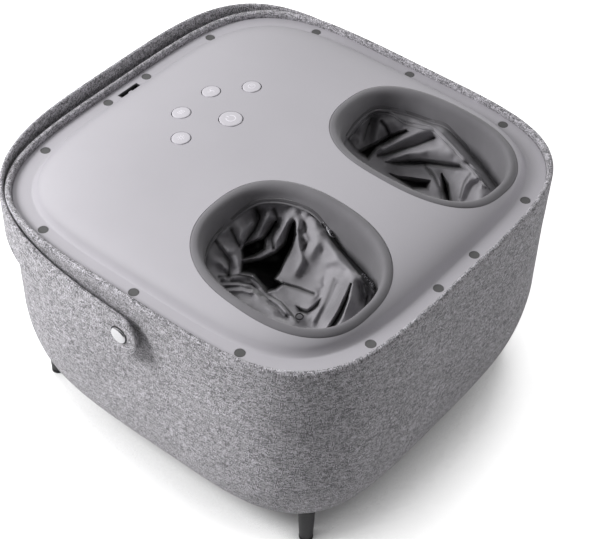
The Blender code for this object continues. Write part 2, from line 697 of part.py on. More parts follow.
def board_height():
    """Top of the control board, below the deepest stem and its switch."""
    lowest = min(panel_height(x, y) for name, x, y, radius in BUTTONS)
    return lowest - BUTTON_STEM_DROP - BUTTON_TRAVEL - SWITCH_RADIUS


def make_control_board(parts, cutters):
    """A printed board hung under the panel on four posts, with a switch below each stem."""
    top = board_height()
    across = [x for name, x, y, radius in BUTTONS]
    along = [y for name, x, y, radius in BUTTONS]
    low = (min(across) - BOARD_MARGIN, min(along) - BOARD_MARGIN)
    high = (max(across) + BOARD_MARGIN, max(along) + BOARD_MARGIN)
    board = block("control_board", (*low, top - BOARD_THICKNESS), (*high, top), parts)
    for name, x, y, radius in BUTTONS:
        foot = Vector((x, y, panel_height(x, y))) - panel_normal(x, y) * BUTTON_STEM_DROP
        switch = cylinder("switch_form", SWITCH_RADIUS, top - BOARD_THICKNESS / 2,
                          foot.z - BUTTON_TRAVEL - GAP, cutters, (foot.x, foot.y), sides=8)
        combine(board, switch, "UNION")
    for x in (low[0] + BOARD_POST_INSET, high[0] - BOARD_POST_INSET):
        for y in (low[1] + BOARD_POST_INSET, high[1] - BOARD_POST_INSET):
            reach = min(panel_height(x, y + sign * BOARD_POST_RADIUS) for sign in (-1, 1))
            post = cylinder("board_post_form", BOARD_POST_RADIUS, top - BOARD_THICKNESS / 2,
                            reach - PANEL_THICKNESS - 2 * GAP, cutters, (x, y), sides=8)
            combine(board, post, "UNION")
    return paint(board, BOARD_GREEN, 0.5)


def make_collar(side, label, parts):
    """A soft padded rim that follows the hole's edge over the crown and rounds down to the well."""
    rim = ((GAP, 0), (GAP + COLLAR_WALL / 2, COLLAR_CREST),
           (GAP + COLLAR_WALL, -COLLAR_ROUND * COLLAR_SHOULDER_SHARE),
           (COLLAR_BORE_INSET - COLLAR_CREST, -COLLAR_ROUND))
    rings = [[(x, y, panel_height(x, y) + rise) for x, y in hole_outline(side, -inset)]
             for inset, rise in rim]
    spigot = hole_outline(side, -GAP - COLLAR_TAPER)
    bore = hole_outline(side, -COLLAR_BORE_INSET)
    rings += [at_height(bore, COLLAR_SPIGOT_TOP), at_height(bore, COLLAR_BOTTOM),
              at_height(spigot, COLLAR_BOTTOM), at_height(spigot, COLLAR_SPIGOT_TOP)]
    collar = loft("collar_" + label, rings, parts, loop=True)
    return paint(collar, COLLAR_GREY, 0.6)


def make_well(side, label, parts, cutters):
    """The rigid chamber for a foot, open below its hole and slotted over the rollers."""
    levels = ((WELL_ROUNDING, WELL_FLOOR_HEIGHT), (WELL_ROUNDING / 4, WELL_FLOOR_HEIGHT + WELL_ROUNDING / 3),
              (0, WELL_FLOOR_HEIGHT + WELL_ROUNDING), (0, WELL_ROOF_HEIGHT - WELL_ROUNDING / 2),
              (WELL_ROUNDING / 6, WELL_ROOF_HEIGHT - WELL_ROUNDING / 6),
              (WELL_ROUNDING / 2, WELL_ROOF_HEIGHT))
    rings = [at_height(well_outline(side, -inset), height) for inset, height in levels]
    well = loft("foot_well_" + label, rings, parts)
    wall = well.modifiers.new("wall", "SOLIDIFY")
    wall.thickness = WELL_WALL
    wall.offset = -1
    wall.use_even_offset = True
    mouth = loft("well_mouth_form", [at_height(hole_outline(side, -COLLAR_TAPER), height) for height in
                                     (WELL_ROOF_HEIGHT - WELL_ROUNDING,
                                      WELL_ROOF_HEIGHT + CUT_OVERRUN)], cutters)
    combine(well, mouth, "DIFFERENCE")
    rise = WELL_FLOOR_HEIGHT - SHAFT_HEIGHT
    half_slot = math.sqrt(HEAD_REACH ** 2 - rise ** 2) + WELL_SLOT_MARGIN
    for shaft_y in (HEEL_SHAFT_Y, TOE_SHAFT_Y):
        for place_x in HEAD_PLACES:
            half_width = HEAD_HALF_WIDTH + WELL_SLOT_MARGIN
            slot = block("roller_slot_form", (side * place_x - half_width, shaft_y - half_slot,
                                              WELL_FLOOR_HEIGHT - CUT_OVERRUN),
                         (side * place_x + half_width, shaft_y + half_slot,
                          WELL_FLOOR_TOP + CUT_OVERRUN), cutters)
            combine(well, slot, "DIFFERENCE")
    return paint(well, BLACK, 0.6)


def fold_depth(angle, depth_share):
    """How far the cloth is drawn in at an angle round the bag: broad folds that lean with depth."""
    lean = LINER_TWIST * depth_share
    broad = (1 + math.cos(LINER_FOLDS * angle + lean)) / 2
    narrow = (1 + math.cos((LINER_FOLDS + 2) * angle - 2 * lean)) / 2
    return LINER_FOLD_DEPTH * ((1 - LINER_NARROW_SHARE) * broad ** 2 + LINER_NARROW_SHARE * narrow)


def liner_ring(mouth, chamber, level):
    """One ring of the liner between the outlines of its mouth and of the well."""
    depth_share, spread_share, fold_share, height = level
    ring = []
    for index, (near, far) in enumerate(zip(mouth, chamber)):
        spot = Vector(near).lerp(Vector(far), spread_share)
        middle = Vector((sum(x for x, y in mouth) / len(mouth), WELL_CENTRE_Y * spread_share
                         + HOLE_CENTRE_Y * (1 - spread_share)))
        pull = fold_share * fold_depth(2 * math.pi * index / LINER_POINTS, depth_share)
        spot += (middle - spot).normalized() * pull
        ring.append((spot.x, spot.y, height))
    return ring


def liner_floor_ring(side, inset, depth_share):
    """A ring of the bag's crumpled floor, raised in ridges that run out to the folds."""
    ring = []
    for index, (x, y) in enumerate(well_outline(side, -inset, LINER_POINTS)):
        ridge = fold_depth(2 * math.pi * index / LINER_POINTS, depth_share)
        ring.append((x, y, LINER_FLOOR + LINER_RIDGE_SHARE * ridge))
    return ring


def make_liner(side, label, parts):
    """The cloth bag that lines a well, hung from its collar, with its main folds."""
    mouth = hole_outline(side, -COLLAR_BORE_INSET - GAP - LINER_SEAM, LINER_POINTS)
    chamber = well_outline(side, -WELL_WALL - LINER_CLEARANCE, LINER_POINTS)
    under_roof = WELL_ROOF_HEIGHT - WELL_WALL - AIRBAG_THICKNESS - LINER_CLEARANCE
    deep = under_roof - LINER_FLOOR
    levels = [(0.0, 0.0, 0.0, COLLAR_BOTTOM + LINER_OVERLAP), (0.0, 0.0, 0.0, COLLAR_BOTTOM)]
    for depth_share, spread_share, fold_share, drop_share in LINER_LEVEL_SHARES:
        levels.append((depth_share, spread_share, fold_share, under_roof - drop_share * deep))
    rings = [liner_ring(mouth, chamber, level) for level in levels]
    for count, depth_share in enumerate(LINER_FLOOR_SHARES, 1):
        rings.append(liner_floor_ring(side, count * LINER_FLOOR_INSET, depth_share))
    liner = loft("liner_" + label, rings, parts, caps=(False, True))
    cloth = liner.modifiers.new("cloth", "SOLIDIFY")
    cloth.thickness = LINER_THICKNESS
    cloth.offset = -1
    cloth.use_even_offset = False
    return paint(liner, LINER_GREY, 0.45)


def make_airbag(side, label, parts):
    """A flat air cushion under the toe end of the well's roof, which presses on the instep."""
    top = WELL_ROOF_HEIGHT - WELL_WALL - GAP
    centre_y = WELL_TOE_LENGTH - WELL_ROUNDING - AIRBAG_LENGTH / 2
    rings = []
    for inset, height in ((AIRBAG_SWELL, top - AIRBAG_THICKNESS), (0, top - AIRBAG_THICKNESS + AIRBAG_SWELL),
                          (0, top - AIRBAG_SWELL), (AIRBAG_SWELL, top)):
        outline = superellipse(WELL_HALF_WIDTH - AIRBAG_MARGIN - inset, AIRBAG_LENGTH / 2 - inset,
                               AIRBAG_EXPONENT, AIRBAG_POINTS)
        rings.append([(side * HOLE_CENTRE_X + x, centre_y + y, height) for x, y in outline])
    return paint(loft("airbag_" + label, rings, parts), DARK_STEEL, 0.7)


def roller_ring(x, radius, lobe_share, turn, shaft_y):
    ring = []
    for index in range(ROLLER_POINTS):
        angle = 2 * math.pi * index / ROLLER_POINTS
        reach = radius * (1 + lobe_share * math.cos(HEAD_LOBES * angle + turn))
        ring.append((x, shaft_y + reach * math.cos(angle), SHAFT_HEIGHT + reach * math.sin(angle)))
    return ring


def head_stations(place_x, turn):
    """Sections of one lobed massage head, from its left side to its right."""
    stations = [(place_x - HEAD_HALF_WIDTH, SHAFT_RADIUS, 0.0, 0.0)]
    for along, size, lobes in HEAD_STATION_SHARES:
        stations.append((place_x + along * HEAD_HALF_WIDTH, HEAD_RADIUS * size,
                         HEAD_LOBE_SHARE * lobes, turn))
    stations.append((place_x + HEAD_HALF_WIDTH, SHAFT_RADIUS, 0.0, 0.0))
    return stations


def pulley_stations(place_x, radius):
    half = PULLEY_WIDTH / 2
    return [(place_x - half, SHAFT_RADIUS, 0, 0), (place_x - half, radius, 0, 0),
            (place_x + half, radius, 0, 0), (place_x + half, SHAFT_RADIUS, 0, 0)]


def make_roller(name, shaft_y, pulleys, parts):
    """A cross shaft with four lobed massage heads and its belt pulleys, in one moulding."""
    places = [-place_x for place_x in reversed(HEAD_PLACES)] + list(HEAD_PLACES)
    stations = [(-SHAFT_HALF_LENGTH, SHAFT_RADIUS, 0, 0)]
    for index, place_x in enumerate(places):
        if index == len(places) // 2:
            for pulley_x, radius in pulleys:
                stations += pulley_stations(pulley_x, radius)
        stations += head_stations(place_x, index * math.pi)
    stations.append((SHAFT_HALF_LENGTH, SHAFT_RADIUS, 0, 0))
    rings = [roller_ring(x, radius, lobes, turn, shaft_y) for x, radius, lobes, turn in stations]
    roller = loft(name, rings, parts)
    origin_to(roller, Vector((0, shaft_y, SHAFT_HEIGHT)))
    return paint(roller, DARK_STEEL, 0.5)


def origin_to(piece, point):
    """Move a piece's origin without moving its shape."""
    piece.data.transform(Matrix.Translation(-point))
    piece.location = point


def belt_outline(first, first_radius, second, second_radius, count=BELT_POINTS):
    """The outline round two circles in the YZ plane, for a belt that wraps both."""
    span = Vector(second) - Vector(first)
    heading = math.atan2(span.y, span.x)
    lean = math.acos((first_radius - second_radius) / span.length)
    points = []
    for index in range(count // 2):
        sweep = lean + (2 * math.pi - 2 * lean) * index / (count // 2 - 1)
        angle = heading + sweep
        points.append((first[0] + first_radius * math.cos(angle),
                       first[1] + first_radius * math.sin(angle)))
    for index in range(count // 2):
        sweep = -lean + 2 * lean * index / (count // 2 - 1)
        angle = heading + sweep
        points.append((second[0] + second_radius * math.cos(angle),
                       second[1] + second_radius * math.sin(angle)))
    return points


def make_belt(name, place_x, first, first_radius, second, second_radius, parts):
    inner = belt_outline(first, first_radius + 2 * GAP, second, second_radius + 2 * GAP)
    outer = belt_outline(first, first_radius + 2 * GAP + BELT_THICKNESS, second,
                         second_radius + 2 * GAP + BELT_THICKNESS)
    left = place_x - BELT_WIDTH / 2
    right = place_x + BELT_WIDTH / 2
    rings = [[(x, y, z) for y, z in outline] for x, outline in
             ((left, outer), (right, outer), (right, inner), (left, inner))]
    return paint(loft(name, rings, parts, loop=True), BLACK, 0.8)


def make_motor(parts):
    """A geared motor across the middle, with the pulley that drives the rollers."""
    across = math.radians(90)
    left = -MOTOR_LENGTH + BELT_PLACE - PULLEY_WIDTH / 2 - GAP
    half = MOTOR_LENGTH / 2
    reach = half + PULLEY_WIDTH + GAP
    profile = [(0, reach), (MOTOR_SHAFT_RADIUS, reach), (MOTOR_SHAFT_RADIUS, half),
               (MOTOR_RADIUS / 3, half), (MOTOR_RADIUS * MOTOR_CAP_SHARE, half),
               (MOTOR_RADIUS, half * MOTOR_CAN_SHARE), (MOTOR_RADIUS, -half * MOTOR_CAN_SHARE),
               (MOTOR_RADIUS * MOTOR_CAP_SHARE, -half), (0, -half)]
    motor = turned("motor", profile, parts, (left + half, MOTOR_Y, MOTOR_HEIGHT), (0, across, 0), 16)
    paint(motor, SILVER, 0.35, 0.8)
    bore = MOTOR_SHAFT_RADIUS + GAP
    face = PULLEY_WIDTH / 2
    ring = [(bore, face), (MOTOR_PULLEY_RADIUS, face), (MOTOR_PULLEY_RADIUS, -face), (bore, -face),
            (bore, face)]
    pulley = turned("motor_pulley", ring, parts, (BELT_PLACE, MOTOR_Y, MOTOR_HEIGHT), (0, across, 0), 14)
    return paint(pulley, DARK_STEEL, 0.5)


def make_drive_frame(parts, cutters):
    """Base beams with bearing ears for both shafts, and the post under the motor."""
    base = TUB_FLOOR_HEIGHT + GAP
    half_beam = FRAME_BEAM_WIDTH / 2
    frame = block("drive_frame", (-FRAME_SPINE_WIDTH / 2, HEEL_SHAFT_Y - half_beam, base),
                  (FRAME_SPINE_WIDTH / 2, TOE_SHAFT_Y + half_beam, FRAME_TOP), parts)
    reach = FRAME_EAR_PLACES[-1] + FRAME_EAR_WIDTH / 2
    ear_top = WELL_FLOOR_HEIGHT - GAP
    for shaft_y in (HEEL_SHAFT_Y, TOE_SHAFT_Y):
        beam = block("frame_beam_form", (-reach, shaft_y - half_beam + GAP, base + GAP),
                     (reach, shaft_y + half_beam - GAP, FRAME_TOP + GAP), cutters)
        combine(frame, beam, "UNION")
        for side in (-1, 1):
            for place_x in FRAME_EAR_PLACES:
                centre = side * place_x
                ear = block("frame_ear_form", (centre - FRAME_EAR_WIDTH / 2 + GAP / 2,
                                               shaft_y - half_beam + SINK, base + SINK),
                            (centre + FRAME_EAR_WIDTH / 2 - GAP / 2, shaft_y + half_beam - SINK, ear_top),
                            cutters)
                combine(frame, ear, "UNION")
        bore = turned("shaft_bore_form", [(0, SHAFT_HALF_LENGTH), (SHAFT_RADIUS + 2 * GAP, SHAFT_HALF_LENGTH),
                                          (SHAFT_RADIUS + 2 * GAP, -SHAFT_HALF_LENGTH),
                                          (0, -SHAFT_HALF_LENGTH)], cutters,
                      (0, shaft_y, SHAFT_HEIGHT), (0, math.radians(90), 0), 20)
        combine(frame, bore, "DIFFERENCE")
    post = block("motor_post_form", (-FRAME_POST_WIDTH / 2, MOTOR_Y - FRAME_POST_LENGTH / 2, base + SINK),
                 (FRAME_POST_WIDTH / 2, MOTOR_Y + FRAME_POST_LENGTH / 2, MOTOR_HEIGHT), cutters)
    combine(frame, post, "UNION")
    seat = turned("motor_seat_form", [(0, MOTOR_LENGTH), (MOTOR_RADIUS + 2 * GAP, MOTOR_LENGTH),
                                      (MOTOR_RADIUS + 2 * GAP, -MOTOR_LENGTH), (0, -MOTOR_LENGTH)],
                  cutters, (0, MOTOR_Y, MOTOR_HEIGHT), (0, math.radians(90), 0), 20)
    combine(frame, seat, "DIFFERENCE")
    return paint(frame, DARK_STEEL, 0.5, 0.5)


def make_standing_block(name, size, spot, colour, parts):
    """A closed unit that stands on the tub's floor."""
    base = TUB_FLOOR_HEIGHT + GAP
    low = (spot[0] - size[0] / 2, spot[1] - size[1] / 2, base)
    high = (spot[0] + size[0] / 2, spot[1] + size[1] / 2, base + size[2])
    return paint(block(name, low, high, parts, BLOCK_BEVEL), colour, 0.5)


def inlet_depth():
    """Distance of the body's back face from the middle, at the height of the inlet."""
    drop = (WAIST_HEIGHT - INLET_HEIGHT) / BOTTOM_ROUND_HEIGHT
    drawn_in = BOTTOM_ROUND_WIDTH * (1 - math.sqrt(1 - drop ** 2))
    return BODY_HALF_DEPTH - WAIST_INSET_DEPTH - drawn_in


def inlet_hole(cutters):
    face = inlet_depth()
    profile = [(0, CUT_OVERRUN), (INLET_RADIUS + GAP, CUT_OVERRUN),
               (INLET_RADIUS + GAP, -INLET_LENGTH), (0, -INLET_LENGTH)]
    return turned("inlet_form", profile, cutters, (0, face, INLET_HEIGHT), (math.radians(-90), 0, 0))


def make_power_inlet(parts):
    """A round low-voltage inlet in the back wall, with an outer flange and a blind socket."""
    face = inlet_depth()
    seat = INLET_PROUD
    profile = [(INLET_SOCKET_RADIUS, seat + INLET_FLANGE), (INLET_RADIUS + INLET_FLANGE, seat + INLET_FLANGE),
               (INLET_RADIUS + INLET_FLANGE, seat), (INLET_RADIUS, seat), (INLET_RADIUS, -INLET_LENGTH),
               (0, -INLET_LENGTH), (0, -INLET_SOCKET_DEPTH), (INLET_SOCKET_RADIUS, -INLET_SOCKET_DEPTH),
               (INLET_SOCKET_RADIUS, seat + INLET_FLANGE)]
    inlet = turned("power_inlet", profile, parts, (0, face, INLET_HEIGHT), (math.radians(-90), 0, 0))
    return paint(inlet, BLACK, 0.4)


def stud_hole(side, cutters):
    reach = BODY_HALF_WIDTH
    return turned("stud_form", [(0, CUT_OVERRUN), (STUD_RADIUS + GAP, CUT_OVERRUN),
                                (STUD_RADIUS + GAP, -LIP_WIDTH - 2 * CUT_OVERRUN),
                                (0, -LIP_WIDTH - 2 * CUT_OVERRUN)], cutters,
                  (side * reach, 0, PIVOT_HEIGHT), (0, side * math.radians(90), 0), 16)


def stud_wall_inset():
    """How far the tub's inner face lies inside the lip's outline at the height of the studs."""
    share = (PIVOT_HEIGHT - WAIST_HEIGHT) / (FLANGE_HEIGHT - WAIST_HEIGHT)
    return WAIST_INSET_WIDTH * (1 - share ** 2) + TUB_INSET + TUB_WALL


def make_studs(parts):
    """Headed pivots that go through the handle, the upholstery and the tub's wall."""
    head_low = HANDLE_HALF_WIDTH + HANDLE_THICKNESS + GAP - BODY_HALF_WIDTH
    nut_top = -stud_wall_inset() - 2 * GAP
    head_high = head_low + STUD_HEAD_HEIGHT
    profile = [(0, head_high), (STUD_HEAD_RADIUS / 2, head_high - STUD_HEAD_HEIGHT / 8),
               (STUD_HEAD_RADIUS * STUD_DOME_SHARE, head_high - STUD_HEAD_HEIGHT / 2),
               (STUD_HEAD_RADIUS, head_low),
               (STUD_RADIUS, head_low), (STUD_RADIUS, nut_top), (STUD_NUT_RADIUS, nut_top),
               (STUD_NUT_RADIUS, nut_top - STUD_NUT_HEIGHT), (0, nut_top - STUD_NUT_HEIGHT)]
    for side, label in ((-1, "left"), (1, "right")):
        stud = turned("handle_stud_" + label, profile, parts, (side * BODY_HALF_WIDTH, 0, PIVOT_HEIGHT),
                      (0, side * math.radians(90), 0), 14)
        paint(stud, SILVER, 0.25, 0.9)


def handle_section(middle, outward, half_height, height):
    """A flat section with rounded edges, from the face at the body to the outer face."""
    shallow = half_height * HANDLE_EDGE_SHARE if half_height < HANDLE_THICKNESS else (
        half_height - HANDLE_THICKNESS / 3)
    inner = HANDLE_THICKNESS / 3
    corners = ((0.0, -shallow), (inner, -half_height), (HANDLE_THICKNESS - inner, -half_height),
               (HANDLE_THICKNESS, -shallow), (HANDLE_THICKNESS, shallow),
               (HANDLE_THICKNESS - inner, half_height), (inner, half_height), (0.0, shallow))
    return [(middle.x + outward.x * away, middle.y + outward.y * away, height + up)
            for away, up in corners]


def make_handle(parts, cutters):
    """A stiffened fabric strap round the back of the body, hung on two side studs."""
    rings = []
    tab = HANDLE_END_HALF_HEIGHT
    for share in reversed(HANDLE_TAB_SHARES):
        half_height = tab * math.sqrt(1 - share ** 2)
        rings.append(handle_section(Vector((HANDLE_HALF_WIDTH, -HANDLE_END_REACH * share)), Vector((1, 0)),
                                    half_height, PIVOT_HEIGHT))
    for step in range(HANDLE_ARC_STEPS + 1):
        angle = math.pi * step / HANDLE_ARC_STEPS
        cosine = math.cos(angle)
        sine = max(0.0, math.sin(angle))
        along = math.copysign(abs(cosine) ** (2 / HANDLE_EXPONENT), cosine)
        across = sine ** (2 / HANDLE_EXPONENT)
        middle = Vector((HANDLE_HALF_WIDTH * along, HANDLE_HALF_DEPTH * across))
        outward = Vector((math.copysign(abs(along) ** (HANDLE_EXPONENT - 1), along) / HANDLE_HALF_WIDTH,
                          across ** (HANDLE_EXPONENT - 1) / HANDLE_HALF_DEPTH)).normalized()
        grow = HANDLE_BACK_HALF_HEIGHT - tab
        rings.append(handle_section(middle, outward, tab + grow * across,
                                    PIVOT_HEIGHT + HANDLE_BACK_LIFT * across))
    for share in HANDLE_TAB_SHARES:
        half_height = tab * math.sqrt(1 - share ** 2)
        rings.append(handle_section(Vector((-HANDLE_HALF_WIDTH, -HANDLE_END_REACH * share)), Vector((-1, 0)),
                                    half_height, PIVOT_HEIGHT))
    handle = loft("carry_handle", rings, parts)
    origin_to(handle, Vector((0, 0, PIVOT_HEIGHT)))
    for side in (-1, 1):
        combine(handle, stud_hole_in_handle(side, cutters), "DIFFERENCE")
    return paint(handle, FABRIC_GREY, 0.95)


def stud_hole_in_handle(side, cutters):
    return turned("handle_hole_form", [(0, HANDLE_THICKNESS + CUT_OVERRUN),
                                       (STUD_RADIUS + GAP, HANDLE_THICKNESS + CUT_OVERRUN),
                                       (STUD_RADIUS + GAP, -CUT_OVERRUN), (0, -CUT_OVERRUN)], cutters,
                  (side * HANDLE_HALF_WIDTH, 0, PIVOT_HEIGHT), (0, side * math.radians(90), 0), 16)


def make_drive(parts, cutters):
    """The drive frame, both rollers, the belts and the motor."""
    make_drive_frame(parts, cutters)
    make_roller("heel_roller", HEEL_SHAFT_Y, ((-BELT_PLACE, LINK_PULLEY_RADIUS),
                                              (BELT_PLACE, DRIVE_PULLEY_RADIUS)), parts)
    make_roller("toe_roller", TOE_SHAFT_Y, ((-BELT_PLACE, LINK_PULLEY_RADIUS),), parts)
    make_belt("link_belt", -BELT_PLACE, (HEEL_SHAFT_Y, SHAFT_HEIGHT), LINK_PULLEY_RADIUS,
              (TOE_SHAFT_Y, SHAFT_HEIGHT), LINK_PULLEY_RADIUS, parts)
    make_belt("drive_belt", BELT_PLACE, (HEEL_SHAFT_Y, SHAFT_HEIGHT), DRIVE_PULLEY_RADIUS,
              (MOTOR_Y, MOTOR_HEIGHT), MOTOR_PULLEY_RADIUS, parts)
    make_motor(parts)


def centre_on_origin(parts, cutters):
    """Hang every piece and cutter on one empty that stands half the handle's overhang forward."""
    holder = bpy.data.objects.new("body_middle", None)
    holder.location = (0, -HANDLE_OVERHANG / 2, 0)
    bpy.context.scene.collection.objects.link(holder)
    for piece in list(parts.objects) + list(cutters.objects):
        piece.parent = holder


def main():
    clear_scene()
    parts = new_collection("foot_massager")
    cutters = new_collection("cutters")
    make_tub(parts, cutters)
    make_fabric_cover(parts, cutters)
    make_bottom_cover(parts, cutters)
    make_legs(parts, cutters)
    make_panel(parts, cutters)
    make_magnets(parts)
    make_latch_socket(parts, cutters)
    make_buttons(parts)
    make_control_board(parts, cutters)
    for side, label in ((-1, "left"), (1, "right")):
        make_collar(side, label, parts)
        make_well(side, label, parts, cutters)
        make_liner(side, label, parts)
        make_airbag(side, label, parts)
    make_drive(parts, cutters)
    make_standing_block("air_pump", PUMP_SIZE, (PUMP_PLACE_X, UNIT_ROW_Y), BLACK, parts)
    make_standing_block("valve_block", VALVE_SIZE, (0, UNIT_ROW_Y), DARK_STEEL, parts)
    make_standing_block("power_board", SUPPLY_SIZE, (SUPPLY_PLACE_X, UNIT_ROW_Y), BOARD_GREEN, parts)
    make_power_inlet(parts)
    make_handle(parts, cutters)
    make_studs(parts)
    centre_on_origin(parts, cutters)
    bpy.context.view_layer.update()


main()
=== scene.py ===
"""The looks of a fabric covered foot massager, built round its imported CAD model.

Metres, +Z up. The body is laid out about its own middle, and SHIFT moves it to the model's origin.
"""

import math

import bmesh
import bpy
import numpy as np
from mathutils import Matrix, Vector, geometry, noise


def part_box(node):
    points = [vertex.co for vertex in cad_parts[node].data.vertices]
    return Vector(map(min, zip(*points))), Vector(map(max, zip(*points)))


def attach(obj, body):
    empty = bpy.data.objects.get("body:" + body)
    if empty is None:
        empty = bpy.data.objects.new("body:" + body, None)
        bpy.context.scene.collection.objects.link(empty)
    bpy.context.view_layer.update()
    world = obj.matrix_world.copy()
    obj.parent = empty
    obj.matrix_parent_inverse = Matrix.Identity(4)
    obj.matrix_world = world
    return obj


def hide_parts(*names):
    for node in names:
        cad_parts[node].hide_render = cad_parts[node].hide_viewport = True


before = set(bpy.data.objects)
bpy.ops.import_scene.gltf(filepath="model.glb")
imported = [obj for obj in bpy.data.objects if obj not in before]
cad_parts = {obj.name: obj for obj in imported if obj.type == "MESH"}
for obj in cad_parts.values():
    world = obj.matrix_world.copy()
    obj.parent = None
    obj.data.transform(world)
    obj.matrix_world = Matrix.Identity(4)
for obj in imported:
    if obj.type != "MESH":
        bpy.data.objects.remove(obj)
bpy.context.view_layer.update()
# noise_vector takes its offsets from this seed, or from the clock where none is set
noise.seed_set(1)

SHIFT = -0.00765
FLANGE = 0.274
BOTTOM = 0.032
PANEL_W = 0.22375
PANEL_D = 0.22145
PLAN = 4.2
CROWN = 0.037
CROWN_SHARE = 0.91774
LIP = 0.00545
GAP = 0.0003
MAGNET_INSET = 0.00895
SOCKET_INSET = 0.01225
BODY_W = PANEL_W + GAP + LIP
BODY_D = PANEL_D + GAP + LIP
RIM = 0.2785
WAIST = 0.137
WAIST_IN_W = 0.0053
WAIST_IN_D = 0.0012
ROUND_W = 0.037
ROUND_H = WAIST - BOTTOM
HOLE_X = 0.1041
HOLE_Y = -0.0965
HOLE_W = 0.0787
HOLE_L = 0.0955
HOLE_EXP = 2.44
TOE_IN = math.radians(1.4)
PIVOT = 0.2356
LEG_X = 0.1686
LEG_Y = (-0.1737, 0.1797)
BUTTONS = (
    ("power_button", "power_key", 0.0, 0.0672, 0.0121),
    ("left_outer_button", "left_outer_key", -0.0538, 0.0856, 0.0098),
    ("left_inner_button", "left_inner_key", -0.0226, 0.1136, 0.0098),
    ("right_inner_button", "right_inner_key", 0.0226, 0.1136, 0.0098),
    ("right_outer_button", "right_outer_key", 0.0538, 0.0856, 0.0098),
)
SIDES = ((-1, "left"), (1, "right"))
MAGNET_HOLE = 0.0053
CLOTH = 0.0012
RIM_INSET = 0.0108
SKIRT_INSET = 0.0124
LINING_CLOTH = 0.0009
LINING_LOWEST = 0.16
# Share of light painted into the liner cloth's colour at its edge under the collar: painted shade.
EDGE_LIGHT = 0.35

pieces = bpy.data.collections.new("visual")
bpy.context.scene.collection.children.link(pieces)


# Shapes

def superellipse(w, d, e, n):
    a = np.linspace(0, 2 * np.pi, n, endpoint=False)
    c, s = np.cos(a), np.sin(a)
    return np.stack([w * np.sign(c) * np.abs(c) ** (2 / e), d * np.sign(s) * np.abs(s) ** (2 / e)], 1)


def even_outline(w, d, e, n):
    """A superellipse with its points spread evenly along its length, from the +X side."""
    raw = superellipse(w, d, e, 4096)
    loop = np.vstack([raw, raw[:1]])
    steps = np.hypot(*np.diff(loop, axis=0).T)
    along = np.concatenate([[0], np.cumsum(steps)])
    want = np.arange(n) / n * along[-1]
    return np.stack([np.interp(want, along, loop[:, k]) for k in (0, 1)], 1), along[-1]


def add_object(name, mesh, smooth=True):
    obj = bpy.data.objects.new(name, mesh)
    pieces.objects.link(obj)
    if smooth:
        mesh.polygons.foreach_set("use_smooth", [True] * len(mesh.polygons))
    return obj


def grid(name, rows, closed=True, uv=None, cap_first=False, cap_last=False):
    """A mesh from a list of rows of points. uv gives (u, v) for row r and column c, seam included."""
    rows = [np.asarray(r, float) for r in rows]
    n = len(rows[0])
    verts = np.vstack(rows)
    faces, corners = [], []
    for r in range(len(rows) - 1):
        for c in range(n if closed else n - 1):
            d = (c + 1) % n
            faces.append((r * n + c, r * n + d, (r + 1) * n + d, (r + 1) * n + c))
            corners.append(((r, c), (r, c + 1), (r + 1, c + 1), (r + 1, c)))
    caps = []
    if cap_first:
        caps.append(tuple(range(n))[::-1])
    if cap_last:
        caps.append(tuple(range(len(verts) - n, len(verts))))
    mesh = bpy.data.meshes.new(name)
    mesh.from_pydata(verts.tolist(), [], faces + caps)
    if uv is not None:
        flat = [value for face in corners for r, c in face for value in uv(r, c)]
        flat += [verts[i][k] for cap in caps for i in cap for k in (0, 1)]
        mesh.uv_layers.new(name="cloth").data.foreach_set("uv", flat)
    mesh.update()
    return mesh


def solid(name, rows, smooth=True, **grid_options):
    """A closed piece from rows of points, with a cap at each end."""
    return fix_normals(add_object(name, grid(name, rows, cap_first=True, cap_last=True, **grid_options), smooth))


def shift(points):
    p = np.asarray(points, float).copy()
    p[:, 1] += SHIFT
    return p


def ring_at(xy, z):
    xy = np.asarray(xy, float)
    return shift(np.column_stack([xy, np.broadcast_to(z, len(xy))]))


def tilt(axis):
    """The turn that brings +Z to an axis."""
    return Vector((0, 0, 1)).rotation_difference(Vector(axis)).to_matrix()


def lathe(name, profile, segments=48, axis=None, at=(0, 0, 0), smooth_angle=40):
    """Turn (radius, height) points about Z, then tilt Z to axis and move to at."""
    a = np.linspace(0, 2 * np.pi, segments, endpoint=False)
    rows = []
    for r, h in profile:
        r = max(r, 1e-5)
        rows.append(np.stack([r * np.cos(a), r * np.sin(a), np.full(segments, h)], 1))
    mesh = grid(name, rows, cap_first=True, cap_last=True)
    turn = Matrix.Identity(3) if axis is None else tilt(axis)
    mesh.transform(Matrix.Translation(Vector(at)) @ turn.to_4x4())
    return sharpen(fix_normals(add_object(name, mesh)), smooth_angle)


def tube(name, line, radius, sides=10, closed=True):
    """A round bead along a line of points."""
    line = np.asarray(line, float)
    last = len(line) - 1
    rows = [[] for _ in range(sides)]
    for i, p in enumerate(line):
        ahead = line[i + 1 if i < last else 0 if closed else last]
        behind = line[i - 1 if i or closed else 0]
        along = Vector(ahead - behind).normalized()
        across = along.cross(Vector((0, 0, 1)))
        across = across.normalized() if across.length > 1e-6 else Vector((1, 0, 0))
        up = across.cross(along)
        for k in range(sides):
            a = 2 * math.pi * k / sides
            rows[k].append(p + radius * (math.cos(a) * np.array(across) + math.sin(a) * np.array(up)))
    if closed:
        return fix_normals(add_object(name, grid(name, rows + rows[:1])))
    return solid(name, np.array(rows).transpose(1, 0, 2))


